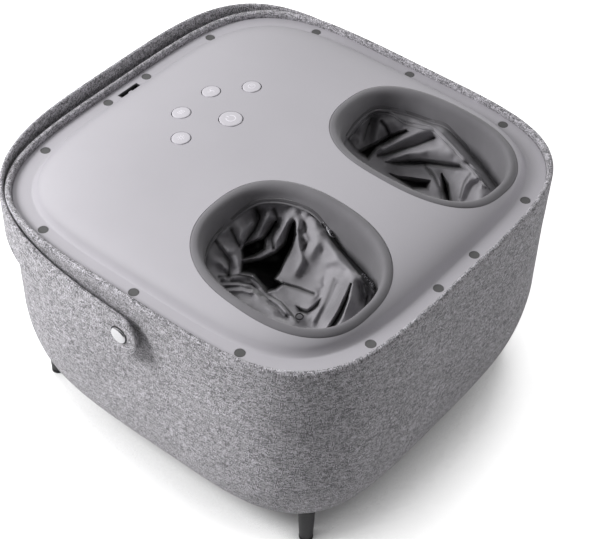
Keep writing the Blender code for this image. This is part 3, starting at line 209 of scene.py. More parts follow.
def ribbon_rows(line, width, place):
    """Stations of a thin flat ribbon along a line: four points round its section."""
    rows = []
    for i, p in enumerate(line):
        ahead, behind = line[min(i + 1, len(line) - 1)], line[max(i - 1, 0)]
        if math.dist(line[0], line[-1]) < 1e-6 and i in (0, len(line) - 1):
            ahead, behind = line[1], line[-2]
        dx, dy = ahead[0] - behind[0], ahead[1] - behind[1]
        size = math.hypot(dx, dy)
        nx, ny = -dy / size * width / 2, dx / size * width / 2
        rows.append([place(p[0] + nx * s, p[1] + ny * s, lift)
                     for s, lift in ((-1, -0.0001), (-1, 0.00008), (1, 0.00008), (1, -0.0001))])
    return rows


def thicken(obj, thickness):
    """Give a sheet its thickness, inwards."""
    wall = obj.modifiers.new("thickness", "SOLIDIFY")
    wall.thickness = thickness
    wall.offset = -1


def fix_normals(obj):
    b = bmesh.new()
    b.from_mesh(obj.data)
    bmesh.ops.remove_doubles(b, verts=b.verts, dist=1e-6)
    bmesh.ops.recalc_face_normals(b, faces=b.faces)
    b.to_mesh(obj.data)
    b.free()
    return obj


def sharpen(obj, degrees=40):
    """Smooth shading with the sharp edges kept."""
    b = bmesh.new()
    b.from_mesh(obj.data)
    limit = math.radians(degrees)
    for e in b.edges:
        e.smooth = len(e.link_faces) != 2 or e.calc_face_angle(0) < limit
    for f in b.faces:
        f.smooth = True
    b.to_mesh(obj.data)
    b.free()
    return obj


# Materials

class Nodes:
    """A short way to write a node tree. A socket is fed with a number, a colour or another node's output."""

    def __init__(self, name, owner=None):
        self.mat = owner or bpy.data.materials.new(name)
        self.mat.use_nodes = True
        self.tree = self.mat.node_tree
        self.bsdf = self.tree.nodes.get("Principled BSDF")

    def feed(self, socket, value):
        if isinstance(value, (int, float)):
            socket.default_value = value
        elif isinstance(value, tuple):
            socket.default_value = (*value, 1)
        elif value is not None:
            self.tree.links.new(value, socket)

    def add(self, kind, **props):
        """A new node: what starts with in_ goes to its sockets, the rest to the node itself."""
        node = self.tree.nodes.new(kind)
        for key, value in props.items():
            if key.startswith("in_"):
                self.feed(node.inputs[key[3:].replace("_", " ")], value)
            else:
                setattr(node, key, value)
        return node

    def chain(self, node, *values):
        """Feed a node's first sockets and give its first output."""
        for socket, value in zip(node.inputs, values):
            self.feed(socket, value)
        return node.outputs[0]

    def math(self, op, a, b=None):
        return self.chain(self.add("ShaderNodeMath", operation=op), a, b)

    def vec(self, x, y, z):
        return self.chain(self.add("ShaderNodeCombineXYZ"), x, y, z)

    def noise(self, vector, scale, detail=2.0, rough=0.5):
        return self.add("ShaderNodeTexNoise", in_Vector=vector, in_Scale=scale, in_Detail=detail,
                        in_Roughness=rough).outputs["Fac"]

    def white(self, x, y, z):
        return self.add("ShaderNodeTexWhiteNoise", noise_dimensions="3D",
                        in_Vector=self.vec(x, y, z)).outputs["Value"]

    def ramp(self, fac, *stops):
        """A colour ramp: each stop is a position with a colour or a grey."""
        node = self.add("ShaderNodeValToRGB")
        els = node.color_ramp.elements
        while len(els) > 1:
            els.remove(els[-1])
        for k, (place, colour) in enumerate(stops):
            stop = els[0] if k == 0 else els.new(place)
            stop.position = place
            stop.color = (*(colour if isinstance(colour, tuple) else (colour,) * 3), 1)
        return self.chain(node, fac)

    def mix(self, fac, a, b, blend="MIX"):
        node = self.add("ShaderNodeMix", data_type="RGBA", blend_type=blend)
        for index, value in ((0, fac), (6, a), (7, b)):
            self.feed(node.inputs[index], value)
        return node.outputs[2]

    def bump(self, height, strength, distance, normal=None):
        return self.add("ShaderNodeBump", in_Strength=strength, in_Distance=distance, in_Height=height,
                        in_Normal=normal).outputs[0]

    def position(self):
        return self.add("ShaderNodeTexCoord").outputs["Object"]

    def surface(self, **values):
        """Feed the shader's sockets and give the material."""
        for key, value in values.items():
            self.feed(self.bsdf.inputs[key.replace("_", " ")], value)
        return self.mat


def grey(v, tint=(1.03, 1.0, 1.07)):
    return tuple(v * t for t in tint)


def tweed(name, level, pitch=0.00115):
    """Woven melange upholstery: short light and dark dashes of yarn, over and under each other."""
    m = Nodes(name)
    split = m.add("ShaderNodeSeparateXYZ", in_Vector=m.add("ShaderNodeUVMap", uv_map="cloth").outputs[0])
    u, v, _ = split.outputs
    flat = m.vec(u, v, 0.0)
    wobble = m.math("MULTIPLY", m.math("SUBTRACT", m.noise(flat, 190, 2, 0.5), 0.5), pitch * 1.6)
    uu, vv = (m.math("DIVIDE", m.math("ADD", axis, wobble), pitch) for axis in (u, v))
    col, row = m.math("FLOOR", uu), m.math("FLOOR", vv)
    over = m.math("MODULO", m.math("ABSOLUTE", m.math("ADD", col, row)), 2.0)
    # each yarn changes colour every few crossings
    dash = m.math("FLOOR", m.math("ADD", m.math("DIVIDE", uu, 2.7), m.white(0.0, row, 1.0)))
    tick = m.math("FLOOR", m.math("ADD", m.math("DIVIDE", vv, 2.1), m.white(col, 0.0, 2.0)))
    weft_greys = ((0.0, 0.09), (0.24, 0.17), (0.48, 0.40), (0.78, 0.58), (1.0, 0.80))
    warp_greys = ((0.0, 0.16), (0.35, 0.32), (0.75, 0.52), (1.0, 0.68))
    weft = m.ramp(m.white(dash, row, 5.0), *[(at, grey(value * level)) for at, value in weft_greys])
    warp = m.ramp(m.white(col, tick, 9.0), *[(at, grey(value * level)) for at, value in warp_greys])
    cloud = m.ramp(m.noise(flat, 22, 3, 0.6), (0.3, 0.92), (0.7, 1.06))
    base = m.mix(1.0, m.mix(over, weft, warp), cloud, "MULTIPLY")
    rounds = []
    for axis in (uu, vv):
        off = m.math("SUBTRACT", m.math("FRACT", axis), 0.5)
        rounds.append(m.math("SUBTRACT", 0.25, m.math("MULTIPLY", off, off)))
    high = m.math("ADD", m.math("MULTIPLY", rounds[0], over),
                  m.math("MULTIPLY", rounds[1], m.math("SUBTRACT", 1.0, over)))
    high = m.math("ADD", high, m.math("MULTIPLY", m.white(col, row, 3.0), 0.10))
    high = m.math("ADD", high, m.math("MULTIPLY", m.noise(flat, 2600, 2, 0.6), 0.12))
    return m.surface(Base_Color=base, Normal=m.bump(high, 0.9, 0.0012), Roughness=0.95, Sheen_Weight=0.2,
                     Sheen_Roughness=0.6, Specular_IOR_Level=0.2)


def satin_panel(name, level=0.54):
    """Satin silver-grey moulding: fine metallic fleck, faint unevenness in its gloss."""
    m = Nodes(name)
    p = m.position()
    fleck, broad = m.noise(p, 5200, 1, 0.5), m.noise(p, 14, 3, 0.55)
    base = m.ramp(fleck, (0.3, grey(level * 0.95)), (0.7, grey(level * 1.05)))
    return m.surface(Base_Color=m.mix(1.0, base, m.ramp(broad, (0.3, 0.98), (0.7, 1.02)), "MULTIPLY"),
                     Roughness=m.ramp(broad, (0.3, 0.40), (0.7, 0.46)), Normal=m.bump(fleck, 0.05, 0.0002),
                     Metallic=0.3)


def soft_skin(name, level=0.185):
    """Smooth soft elastane cloth of the collars: very fine knit and slight sheen."""
    m = Nodes(name)
    p = m.position()
    height = m.math("ADD", m.math("MULTIPLY", m.noise(p, 2600, 1, 0.4), 0.15), m.noise(p, 60, 3, 0.55))
    base = m.ramp(m.noise(p, 26, 3, 0.5), (0.3, grey(level * 0.92)), (0.7, grey(level * 1.08)))
    return m.surface(Base_Color=base, Normal=m.bump(height, 0.22, 0.0014), Roughness=0.55, Sheen_Weight=0.3,
                     Sheen_Roughness=0.4)


def lining(name, level=0.29):
    """Satin lining cloth with a fine twill and soft gloss; its colour carries painted shade from a factor stored
    at each point.
    """
    m = Nodes(name)
    p = m.position()
    twill = m.add("ShaderNodeTexWave", wave_type="BANDS", bands_direction="DIAGONAL", in_Vector=p,
                  in_Scale=900.0, in_Distortion=1.5, in_Detail=1.0).outputs["Fac"]
    broad = m.noise(p, 40, 4, 0.55)
    fold = m.add("ShaderNodeAttribute", attribute_name="painted_light").outputs["Fac"]
    base = m.ramp(broad, (0.28, grey(level * 0.9)), (0.72, grey(level * 1.1)))
    # painted shade: the base colour is darkened by the stored factor in hollows, creases and along the collar's
    # edge
    return m.surface(Base_Color=m.mix(1.0, base, m.ramp(fold, (0.0, 0.01), (1.0, 1.0)), "MULTIPLY"),
                     Roughness=m.ramp(broad, (0.3, 0.34), (0.7, 0.46)),
                     Normal=m.bump(m.noise(p, 95, 4, 0.6), 0.22, 0.0022, m.bump(twill, 0.08, 0.0003)),
                     Sheen_Weight=0.35, Sheen_Roughness=0.35)


def plastic(name, colour, rough=0.5, grain=1800, depth=0.0002, metallic=0.0):
    """Moulded plastic with a spark-eroded grain and small gloss changes."""
    m = Nodes(name)
    p = m.position()
    g = m.noise(p, grain, 3, 0.6)
    low, high = (tuple(c * share for c in colour) for share in (0.88, 1.12))
    return m.surface(Base_Color=m.ramp(m.noise(p, 30, 3, 0.5), (0.3, low), (0.7, high)),
                     Roughness=m.ramp(g, (0.3, rough * 0.9), (0.7, min(1, rough * 1.1))),
                     Normal=m.bump(g, 0.3, depth), Metallic=metallic)


def metal(name, colour, rough, brushed=0.0):
    """Plated metal with hairline marks."""
    m = Nodes(name)
    p = m.position()
    marks = m.noise(p, 900, 4, 0.7)
    base = m.ramp(m.noise(p, 60, 2, 0.5), (0.3, tuple(c * 0.93 for c in colour)), (0.7, colour))
    return m.surface(Base_Color=base, Roughness=m.ramp(marks, (0.3, rough * 0.8), (0.7, rough * 1.3)),
                     Normal=m.bump(marks, 0.06 + brushed, 0.0001), Metallic=1.0)


def rubber(name, level=0.02, rough=0.8):
    """Dusty rubber or coated cloth."""
    m = Nodes(name)
    p = m.position()
    base = m.ramp(m.noise(p, 120, 4, 0.6), (0.3, grey(level * 0.8)), (0.75, grey(level * 1.6)))
    return m.surface(Base_Color=base, Normal=m.bump(m.noise(p, 1400, 3, 0.6), 0.35, 0.0002), Roughness=rough)


def circuit(name):
    """Green board with tracks and solder specks."""
    m = Nodes(name)
    p = m.position()
    track = m.add("ShaderNodeTexBrick", offset=0.5, in_Vector=p, in_Scale=260.0,
                  in_Mortar_Size=0.09).outputs["Fac"]
    base = m.mix(track, (0.012, 0.11, 0.04), (0.03, 0.20, 0.08))
    speck = m.ramp(m.noise(p, 700, 2, 0.5), (0.66, 0.0), (0.68, 1.0))
    return m.surface(Base_Color=m.mix(speck, base, (0.55, 0.5, 0.3)), Normal=m.bump(track, 0.2, 0.0002),
                     Roughness=0.35)


TWEED = tweed("tweed_fabric", 0.94)
SILVER = satin_panel("silver_plastic")
COLLAR = soft_skin("collar_cloth")
LINING = lining("liner_cloth")
ZIP_TAPE = rubber("zip_tape", 0.03, 0.6)
ZIP_METAL = plastic("zip_metal", (0.62, 0.62, 0.65), 0.3, 900, 0.0001, 0.45)
BLACK = plastic("black_plastic", (0.018, 0.018, 0.02), 0.5)
BUTTON = satin_panel("button_plastic", 0.68)
ICON = satin_panel("icon_print", 0.92)
MAGNET = plastic("magnet_coating", (0.135, 0.135, 0.135), 0.45, 2400, 0.0001, 0.3)
CHROME = metal("chrome", (0.80, 0.80, 0.82), 0.18)
STEEL = metal("zinc_steel", (0.45, 0.46, 0.48), 0.35, 0.05)
RUBBER = rubber("pad_rubber")
BELT = rubber("belt_rubber", 0.025, 0.7)
AIRBAG = rubber("airbag_cloth", 0.10, 0.6)
ROLLER = plastic("roller_plastic", (0.22, 0.22, 0.24), 0.45)
BOARD = circuit("circuit_board")


def dress(obj, material, body="base", replaces=()):
    obj.data.materials.clear()
    obj.data.materials.append(material)
    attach(obj, body)
    if replaces:
        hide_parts(*replaces)
    return obj


# Panel surface

def plan_share(x, y):
    return ((np.abs(x) / PANEL_W) ** PLAN + (np.abs(y) / PANEL_D) ** PLAN) ** (1 / PLAN)


def crown(share):
    u = np.minimum(1.0, np.asarray(share, float) / CROWN_SHARE)
    return CROWN * (1 - u ** 3.28) ** 0.522


def panel_height(x, y):
    """The panel's top, with the foot of the crown blended into the flange by a small cove."""
    s = plan_share(np.asarray(x, float), np.asarray(y, float))
    spread = np.linspace(-0.011, 0.011, 9)
    return FLANGE + np.mean([crown(np.clip(s + d, 0, 1)) for d in spread], axis=0)


def panel_slopes(x, y, e):
    """Rise of the panel along x and along y, over a step of e to both sides."""
    return ((panel_height(x + e, y) - panel_height(x - e, y)) / (2 * e),
            (panel_height(x, y + e) - panel_height(x, y - e)) / (2 * e))


def panel_normal(x, y):
    dx, dy = panel_slopes(x, y, 0.001)
    return Vector((-float(dx), -float(dy), 1.0)).normalized()


def wound(points, loop):
    """Whether a loop winds round each point."""
    a = loop[None, :, :] - points[:, None, :]
    b = np.roll(loop, -1, 0)[None, :, :] - points[:, None, :]
    cross = a[..., 0] * b[..., 1] - a[..., 1] * b[..., 0]
    return np.abs(np.arctan2(cross, (a * b).sum(-1)).sum(1)) > 3.0


def hole_outline(side, offset, n=160):
    """Outline of a foot hole grown by offset, anticlockwise from above."""
    raw = even_outline(HOLE_W + offset, HOLE_L + offset, HOLE_EXP, n)[0]
    c, s = math.cos(side * TOE_IN), math.sin(side * TOE_IN)
    x, y = side * raw[:, 0], raw[:, 1]
    points = np.stack([side * HOLE_X + c * x - s * y, HOLE_Y + s * x + c * y], 1)
    return points if side > 0 else points[::-1]


def ring_angles(side, ring):
    """Angle of each point about the hole's middle, in degrees from +X."""
    return np.degrees(np.arctan2(ring[:, 1] - HOLE_Y, ring[:, 0] - side * HOLE_X))


# Camera, floor and light

def view_axes():
    """The camera's right, up and backward directions."""
    azimuth, elevation, roll = (math.radians(v) for v in (-51.781, 44.567, 1.331))
    back = Vector((math.sin(azimuth) * math.cos(elevation), -math.cos(azimuth) * math.cos(elevation),
                   math.sin(elevation)))
    right = Vector((math.cos(azimuth), math.sin(azimuth), 0))
    up = back.cross(right)
    return (math.cos(roll) * right + math.sin(roll) * up, math.cos(roll) * up - math.sin(roll) * right, back)


VIEW_RIGHT, VIEW_UP, VIEW_BACK = view_axes()
VIEW_FROM = Vector((-0.09284, -0.10612, 0.274)) + 1.4772 * VIEW_BACK
RIGHT, UP, BACK, EYE = (np.array(v) for v in (VIEW_RIGHT, VIEW_UP, VIEW_BACK, VIEW_FROM))
FOCAL = 1574.9
MID_X, MID_Y = 300, 269.5


def view_ray(px, py):
    """Directions through places of the 600 by 539 frame, one unit deep."""
    px, py = np.asarray(px, float)[..., None], np.asarray(py, float)[..., None]
    return -BACK + RIGHT * (px - MID_X) / FOCAL - UP * (py - MID_Y) / FOCAL


def view_place(points):
    """Place in the frame and depth of each point."""
    away = np.asarray(points, float) - EYE
    depth = -(away @ BACK)
    return np.stack([MID_X + FOCAL * (away @ RIGHT) / depth, MID_Y - FOCAL * (away @ UP) / depth, depth], -1)


def camera():
    data = bpy.data.cameras.new("camera")
    data.sensor_width = 36
    data.lens = FOCAL * 36 / 600
    data.clip_start, data.clip_end = 0.05, 50
    cam = bpy.data.objects.new("camera", data)
    turn = Matrix((VIEW_RIGHT, VIEW_UP, VIEW_BACK)).transposed().to_4x4()
    cam.matrix_world = Matrix.Translation(VIEW_FROM) @ turn
    bpy.context.scene.collection.objects.link(cam)
    bpy.context.scene.camera = cam


def world_light(low, high):
    """A studio that is bright behind the object and dim behind the camera's side; white where it is seen."""
    world = bpy.data.worlds.new("world")
    m = Nodes("world", world)
    m.tree.nodes.clear()
    dot = m.add("ShaderNodeVectorMath", operation="DOT_PRODUCT")
    dot.inputs[1].default_value = Vector((0.45, 0.70, 0.45)).normalized()
    m.feed(dot.inputs[0], m.add("ShaderNodeTexCoord").outputs["Generated"])
    strength = m.chain(m.add("ShaderNodeMapRange"), dot.outputs["Value"], -0.5, 0.9, low, high)
    lit = m.chain(m.add("ShaderNodeBackground"), (1, 1, 1), strength)
    shown = m.chain(m.add("ShaderNodeBackground"), (1, 1, 1))
    seen = m.add("ShaderNodeLightPath").outputs["Is Camera Ray"]
    m.feed(m.add("ShaderNodeOutputWorld").inputs[0], m.chain(m.add("ShaderNodeMixShader"), seen, lit, shown))
    bpy.context.scene.world = world


def area_light(name, place, target, size, power):
    """A round lamp that leaves no reflection of its own."""
    data = bpy.data.lights.new(name, "AREA")
    data.shape = "DISK"
    data.size = size
    data.energy = power
    lamp = bpy.data.objects.new(name, data)
    lamp.location = place
    lamp.rotation_euler = (Vector(target) - Vector(place)).to_track_quat("-Z", "Y").to_euler()
    lamp.visible_glossy = False
    bpy.context.scene.collection.objects.link(lamp)


def floor():
    """Pale paper that glows for the camera; the glow fades by occlusion near the object, which paints the contact
    shadow darker than the lamps make it.
    """
    m = Nodes("floor_paper")
    m.surface(Base_Color=m.ramp(m.noise(m.position(), 3, 2, 0.5), (0.3, 0.80), (0.7, 0.82)), Roughness=0.9,
              Specular_IOR_Level=0.0)
    # painted shadow: the camera-only glow is taken away where the object occludes the floor
    near = m.add("ShaderNodeAmbientOcclusion", samples=8, in_Distance=0.13).outputs["AO"]
    seen = m.math("MULTIPLY", m.add("ShaderNodeLightPath").outputs["Is Camera Ray"], 0.78)
    glow = m.add("ShaderNodeEmission",
                 in_Strength=m.math("MULTIPLY", seen, m.ramp(near, (0.46, 0.0), (0.68, 1.0)))).outputs[0]
    out = next(n for n in m.tree.nodes if n.type == "OUTPUT_MATERIAL")
    m.feed(out.inputs[0], m.chain(m.add("ShaderNodeAddShader"), m.bsdf.outputs[0], glow))
    mesh = bpy.data.meshes.new("floor")
    mesh.from_pydata([(-6, -6, 0), (6, -6, 0), (6, 6, 0), (-6, 6, 0)], [], [(0, 1, 2, 3)])
    obj = bpy.data.objects.new("floor", mesh)
    bpy.context.scene.collection.objects.link(obj)
    mesh.materials.append(m.mat)


camera()
world_light(0.06, 0.62)
area_light("key", (-0.95, 0.86, 1.15), (0, 0, 0.2), 0.7, 27)
area_light("side", (1.7, -1.05, 0.55), (0, 0, 0.15), 0.9, 12)
floor()
bpy.context.scene.view_settings.view_transform = "Standard"


# Upholstered body

def body_section():
    """(inset across, inset along, height) from the underside up the wall and over the lip."""
    flat_w, flat_d = WAIST_IN_W + ROUND_W, WAIST_IN_D + ROUND_W
    points = [(flat_w + 0.020, flat_d + 0.020, BOTTOM), (flat_w + 0.010, flat_d + 0.010, BOTTOM)]
    for k in range(21):
        a = math.radians(90 - 90 * k / 20)
        points.append((WAIST_IN_W + ROUND_W * (1 - math.cos(a)), WAIST_IN_D + ROUND_W * (1 - math.cos(a)),
                       WAIST - ROUND_H * math.sin(a)))
    for k in range(1, 25):
        share = k / 24
        points.append((WAIST_IN_W * (1 - share ** 2), WAIST_IN_D * (1 - share ** 2),
                       WAIST + share * (RIM - WAIST)))
    for k in range(1, 17):
        a = math.pi * k / 16
        points.append((LIP / 2 * (1 - math.cos(a)), LIP / 2 * (1 - math.cos(a)), RIM + LIP / 2 * math.sin(a)))
    points.append((LIP + 0.0002, LIP + 0.0002, 0.2712))
    return points


def fabric_body(n=384):
    section = body_section()
    rows, along = [], [0.0]
    perimeter = even_outline(BODY_W, BODY_D, PLAN, n)[1]
    for k, (w, d, z) in enumerate(section):
        ring = even_outline(BODY_W - w, BODY_D - d, PLAN, n)[0]
        rows.append(ring_at(ring, z))
        if k:
            last = section[k - 1]
            along.append(along[-1] + math.hypot(w - last[0], z - last[2]))
    for row in rows:
        for i, p in enumerate(row):
            out = Vector((p[0], p[1] - SHIFT, 0)).normalized()
            push = 0.00045 * noise.noise(Vector(p) * 14) + 0.0002 * noise.noise(Vector(p) * 45)
            row[i] = p + np.array(out) * push
    mesh = grid("fabric_body", rows, uv=lambda r, c: (perimeter * c / n, along[r]))
    obj = add_object("fabric_body", mesh)
    thicken(obj, CLOTH)
    dress(obj, TWEED, replaces=["fabric_cover"])


# Panel

def circle_points(x, y, r, n):
    a = np.linspace(0, 2 * np.pi, n, endpoint=False)
    return np.stack([x + r * np.cos(a), y + r * np.sin(a)], 1)


def magnet_places():
    w, d = PANEL_W - MAGNET_INSET, PANEL_D - MAGNET_INSET
    places = []
    for share in (0.136, 0.585):
        reach = (1 - share ** PLAN) ** (1 / PLAN)
        places += [(side * share * w, end * reach * d) for side in (-1, 1) for end in (-1, 1)]
    for share in (0.0, 0.585):
        reach = (1 - share ** PLAN) ** (1 / PLAN)
        ends = (-1, 1) if share else (1,)
        places += [(side * reach * w, end * share * d) for side in (-1, 1) for end in ends]
    return places


def slot_points():
    y = PANEL_D - SOCKET_INSET
    w, d = 0.0143, 0.0041
    return np.array([(-w, y - d), (w, y - d), (w, y + d), (-w, y + d)])


def button_ring(x, y, r, n=56):
    """The round hole for a cap, on the sloping panel."""
    turn = tilt(panel_normal(x, y))
    out = []
    for a in np.linspace(0, 2 * np.pi, n, endpoint=False):
        p = turn @ Vector((r * math.cos(a), r * math.sin(a), 0))
        out.append((x + p.x, y + p.y))
    return np.array(out)


def panel_mesh():
    loops = [even_outline(PANEL_W, PANEL_D, PLAN, 288)[0]]
    loops += [hole_outline(side, 0.0, 200) for side in (-1, 1)]
    loops += [button_ring(x, y, r + 0.0006) for _, _, x, y, r in BUTTONS]
    loops += [circle_points(x, y, MAGNET_HOLE, 36) for x, y in magnet_places()]
    loops += [slot_points()]
    shares = [0.992, 0.984, 0.975, 0.966, 0.957, 0.948, 0.941, 0.936, 0.932, 0.928, 0.9245, 0.921, 0.9177,
              0.9145, 0.911, 0.9075, 0.904, 0.90, 0.896, 0.892, 0.887, 0.882, 0.876, 0.87, 0.862, 0.853, 0.843,
              0.832, 0.82, 0.807, 0.793, 0.778, 0.76, 0.74, 0.72, 0.70, 0.675, 0.65, 0.62, 0.59, 0.56, 0.52,
              0.48, 0.44, 0.4, 0.35, 0.3, 0.24, 0.18, 0.12, 0.06]
    extra = [even_outline(PANEL_W * s, PANEL_D * s, PLAN, max(16, int(288 * min(1, s + 0.15))))[0] for s in shares]
    extra = np.vstack(extra)
    keep = np.ones(len(extra), bool)
    for loop in loops[1:]:
        centre = loop.mean(0)
        if len(loop) == 4:
            keep &= ~((np.abs(extra[:, 0]) < 0.0163) & (np.abs(extra[:, 1] - centre[1]) < 0.0061))
            continue
        for corner in loop:
            keep &= np.hypot(*(extra - corner).T) > 0.0011
        keep &= ~wound(extra, loop)
    extra = extra[keep]
    verts, edges, start = [], [], 0
    for loop in loops:
        verts += loop.tolist()
        edges += [(start + i, start + (i + 1) % len(loop)) for i in range(len(loop))]
        start += len(loop)
    verts += extra.tolist()
    out = geometry.delaunay_2d_cdt([Vector(v) for v in verts], edges, [], 0, 1e-7)
    flat, faces = np.array([tuple(v) for v in out[0]]), out[2]
    centres = np.array([flat[list(f)].mean(0) for f in faces])
    solid_part = wound(centres, loops[0])
    for loop in loops[1:]:
        solid_part &= ~wound(centres, loop)
    faces = [tuple(f) for f, ok in zip(faces, solid_part) if ok]
    return loops, flat, faces


def panel_piece():
    loops, flat, faces = panel_mesh()
    height = panel_height(flat[:, 0], flat[:, 1])
    dx, dy = panel_slopes(flat[:, 0], flat[:, 1], 0.0006)
    normals = np.stack([-dx, -dy, np.ones(len(dx))], 1)
    normals /= np.linalg.norm(normals, axis=1)[:, None]
    verts = [tuple(p) for p in shift(np.column_stack([flat, height]))]
    all_faces, loop_normals = [], []
    for f in faces:
        a, b, c = (flat[i] for i in f[:3])
        area = (b[0] - a[0]) * (c[1] - a[1]) - (b[1] - a[1]) * (c[0] - a[0])
        f = f if area > 0 else f[::-1]
        all_faces.append(f)
        loop_normals += [tuple(normals[i]) for i in f]
    for k, loop in enumerate(loops):
        z = panel_height(loop[:, 0], loop[:, 1])
        top = shift(np.column_stack([loop, z]))
        low = top.copy()
        low[:, 2] -= 0.003 if k else 0.0028
        base = len(verts)
        verts += [tuple(p) for p in top] + [tuple(p) for p in low]
        n = len(loop)
        for i in range(n):
            j = (i + 1) % n
            f = (base + i, base + j, base + n + j, base + n + i)
            p = [np.array(verts[v]) for v in f]
            normal = np.cross(p[1] - p[0], p[3] - p[0])
            outward = np.append(loop[i] - loop.mean(0), 0) * (1 if k == 0 else -1)
            if normal @ outward < 0:
                f, normal = f[::-1], -normal
            normal /= np.linalg.norm(normal) + 1e-12
            all_faces.append(f)
            loop_normals += [tuple(normal)] * 4
    mesh = bpy.data.meshes.new("panel_moulding")
    mesh.from_pydata(verts, [], all_faces)
    obj = add_object("panel_moulding", mesh)
    mesh.normals_split_custom_set(loop_normals)
    dress(obj, SILVER, replaces=["top_panel"])


fabric_body()
panel_piece()


# Collars

# Height of the lower edge at angles in degrees about the hole's middle, from +X.
LEFT_EDGE = ((-37, 0.256), (-24, 0.256), (-8, 0.262), (0, 0.270), (15, 0.286), (23, 0.291), (31, 0.292),
             (46, 0.294), (58, 0.294), (65, 0.293), (76, 0.287), (84, 0.284), (98, 0.281), (108, 0.278),
             (118, 0.274), (128, 0.272), (150, 0.276), (180, 0.276), (225, 0.276), (270, 0.266), (310, 0.258))
RIGHT_EDGE = ((-47, 0.241), (-37, 0.242), (-20, 0.249), (-3, 0.261), (12, 0.271), (19, 0.272), (28, 0.270),
              (40, 0.272), (54, 0.277), (63, 0.282), (72, 0.286), (81, 0.285), (92, 0.282), (103, 0.277),
              (120, 0.274), (150, 0.280), (180, 0.283), (225, 0.278), (270, 0.258), (300, 0.244))


def edge_height(side, angles):
    """Height of the collar's lower edge at angles in degrees."""
    a, z = np.array(RIGHT_EDGE if side > 0 else LEFT_EDGE).T
    fine = np.arange(0, 360, 1.0)
    level = np.interp(fine, a, z, period=360)
    kernel = np.hanning(15)
    level = np.convolve(np.concatenate([level[-7:], level, level[:7]]), kernel / kernel.sum(), "valid")
    return np.interp(np.asarray(angles) % 360, fine, level, period=360)


def collar_rings(side, n=256):
    """Rows of the padded rim and the skirt that hangs in the hole."""
    rim = ((0.0002, -0.0026), (0.0002, -0.0008), (0.0006, 0.0001), (0.0016, 0.0006), (0.0032, 0.0008),
           (0.0050, 0.0006), (0.0066, 0.0000), (0.0080, -0.0012), (0.0091, -0.0028), (0.0099, -0.0048),
           (0.0105, -0.0072), (RIM_INSET, -0.0098))
    middle = np.array([side * HOLE_X, HOLE_Y + SHIFT])
    rows, low = [], None
    for inset, rise in rim:
        ring = hole_outline(side, -inset, n)
        low = panel_height(ring[:, 0], ring[:, 1]) + rise
        rows.append(ring_at(ring, low))
    outline = hole_outline(side, -RIM_INSET, n)
    bottom = np.minimum(edge_height(side, ring_angles(side, outline)), low - 0.004)
    for k in range(1, 15):
        share = k / 14
        ring = hole_outline(side, -(RIM_INSET + 0.0014 * math.sin(share * math.pi / 2)), n)
        row = ring_at(ring, low + (bottom - low) * share)
        for place in row:
            p = Vector((place[0], place[1], place[2] * 0.25))
            sag = 0.0011 * noise.noise(p * 55) * share + 0.0005 * noise.noise(p * 130) * share
            toward = middle - place[:2]
            place[:2] += toward / np.linalg.norm(toward) * sag
        rows.append(row)
    return rows, bottom


def collar_piece(side, label, n=256):
    rows, bottom = collar_rings(side, n)
    under = hole_outline(side, -0.0102, n)
    rows.append(ring_at(under, bottom + 0.0003))
    rows.append(ring_at(under, np.maximum(bottom + 0.0006, panel_height(under[:, 0], under[:, 1]) - 0.012)))
    inner = hole_outline(side, -0.0060, n)
    rows.append(ring_at(inner, panel_height(inner[:, 0], inner[:, 1]) - 0.0036))
    rows.append(rows[0].copy())
    name = "collar_" + label + "_skin"
    obj = fix_normals(add_object(name, grid(name, rows, uv=lambda r, c: (0.56 * c / n, 0.002 * r))))
    dress(obj, COLLAR, replaces=["collar_" + label])
    # piping along the skirt's lower edge
    ring = hole_outline(side, -SKIRT_INSET, n)
    line = ring_at(ring, edge_height(side, ring_angles(side, ring)))
    bead = tube("piping_" + label, line, 0.0011, 10)
    dress(bead, COLLAR)


# Liners

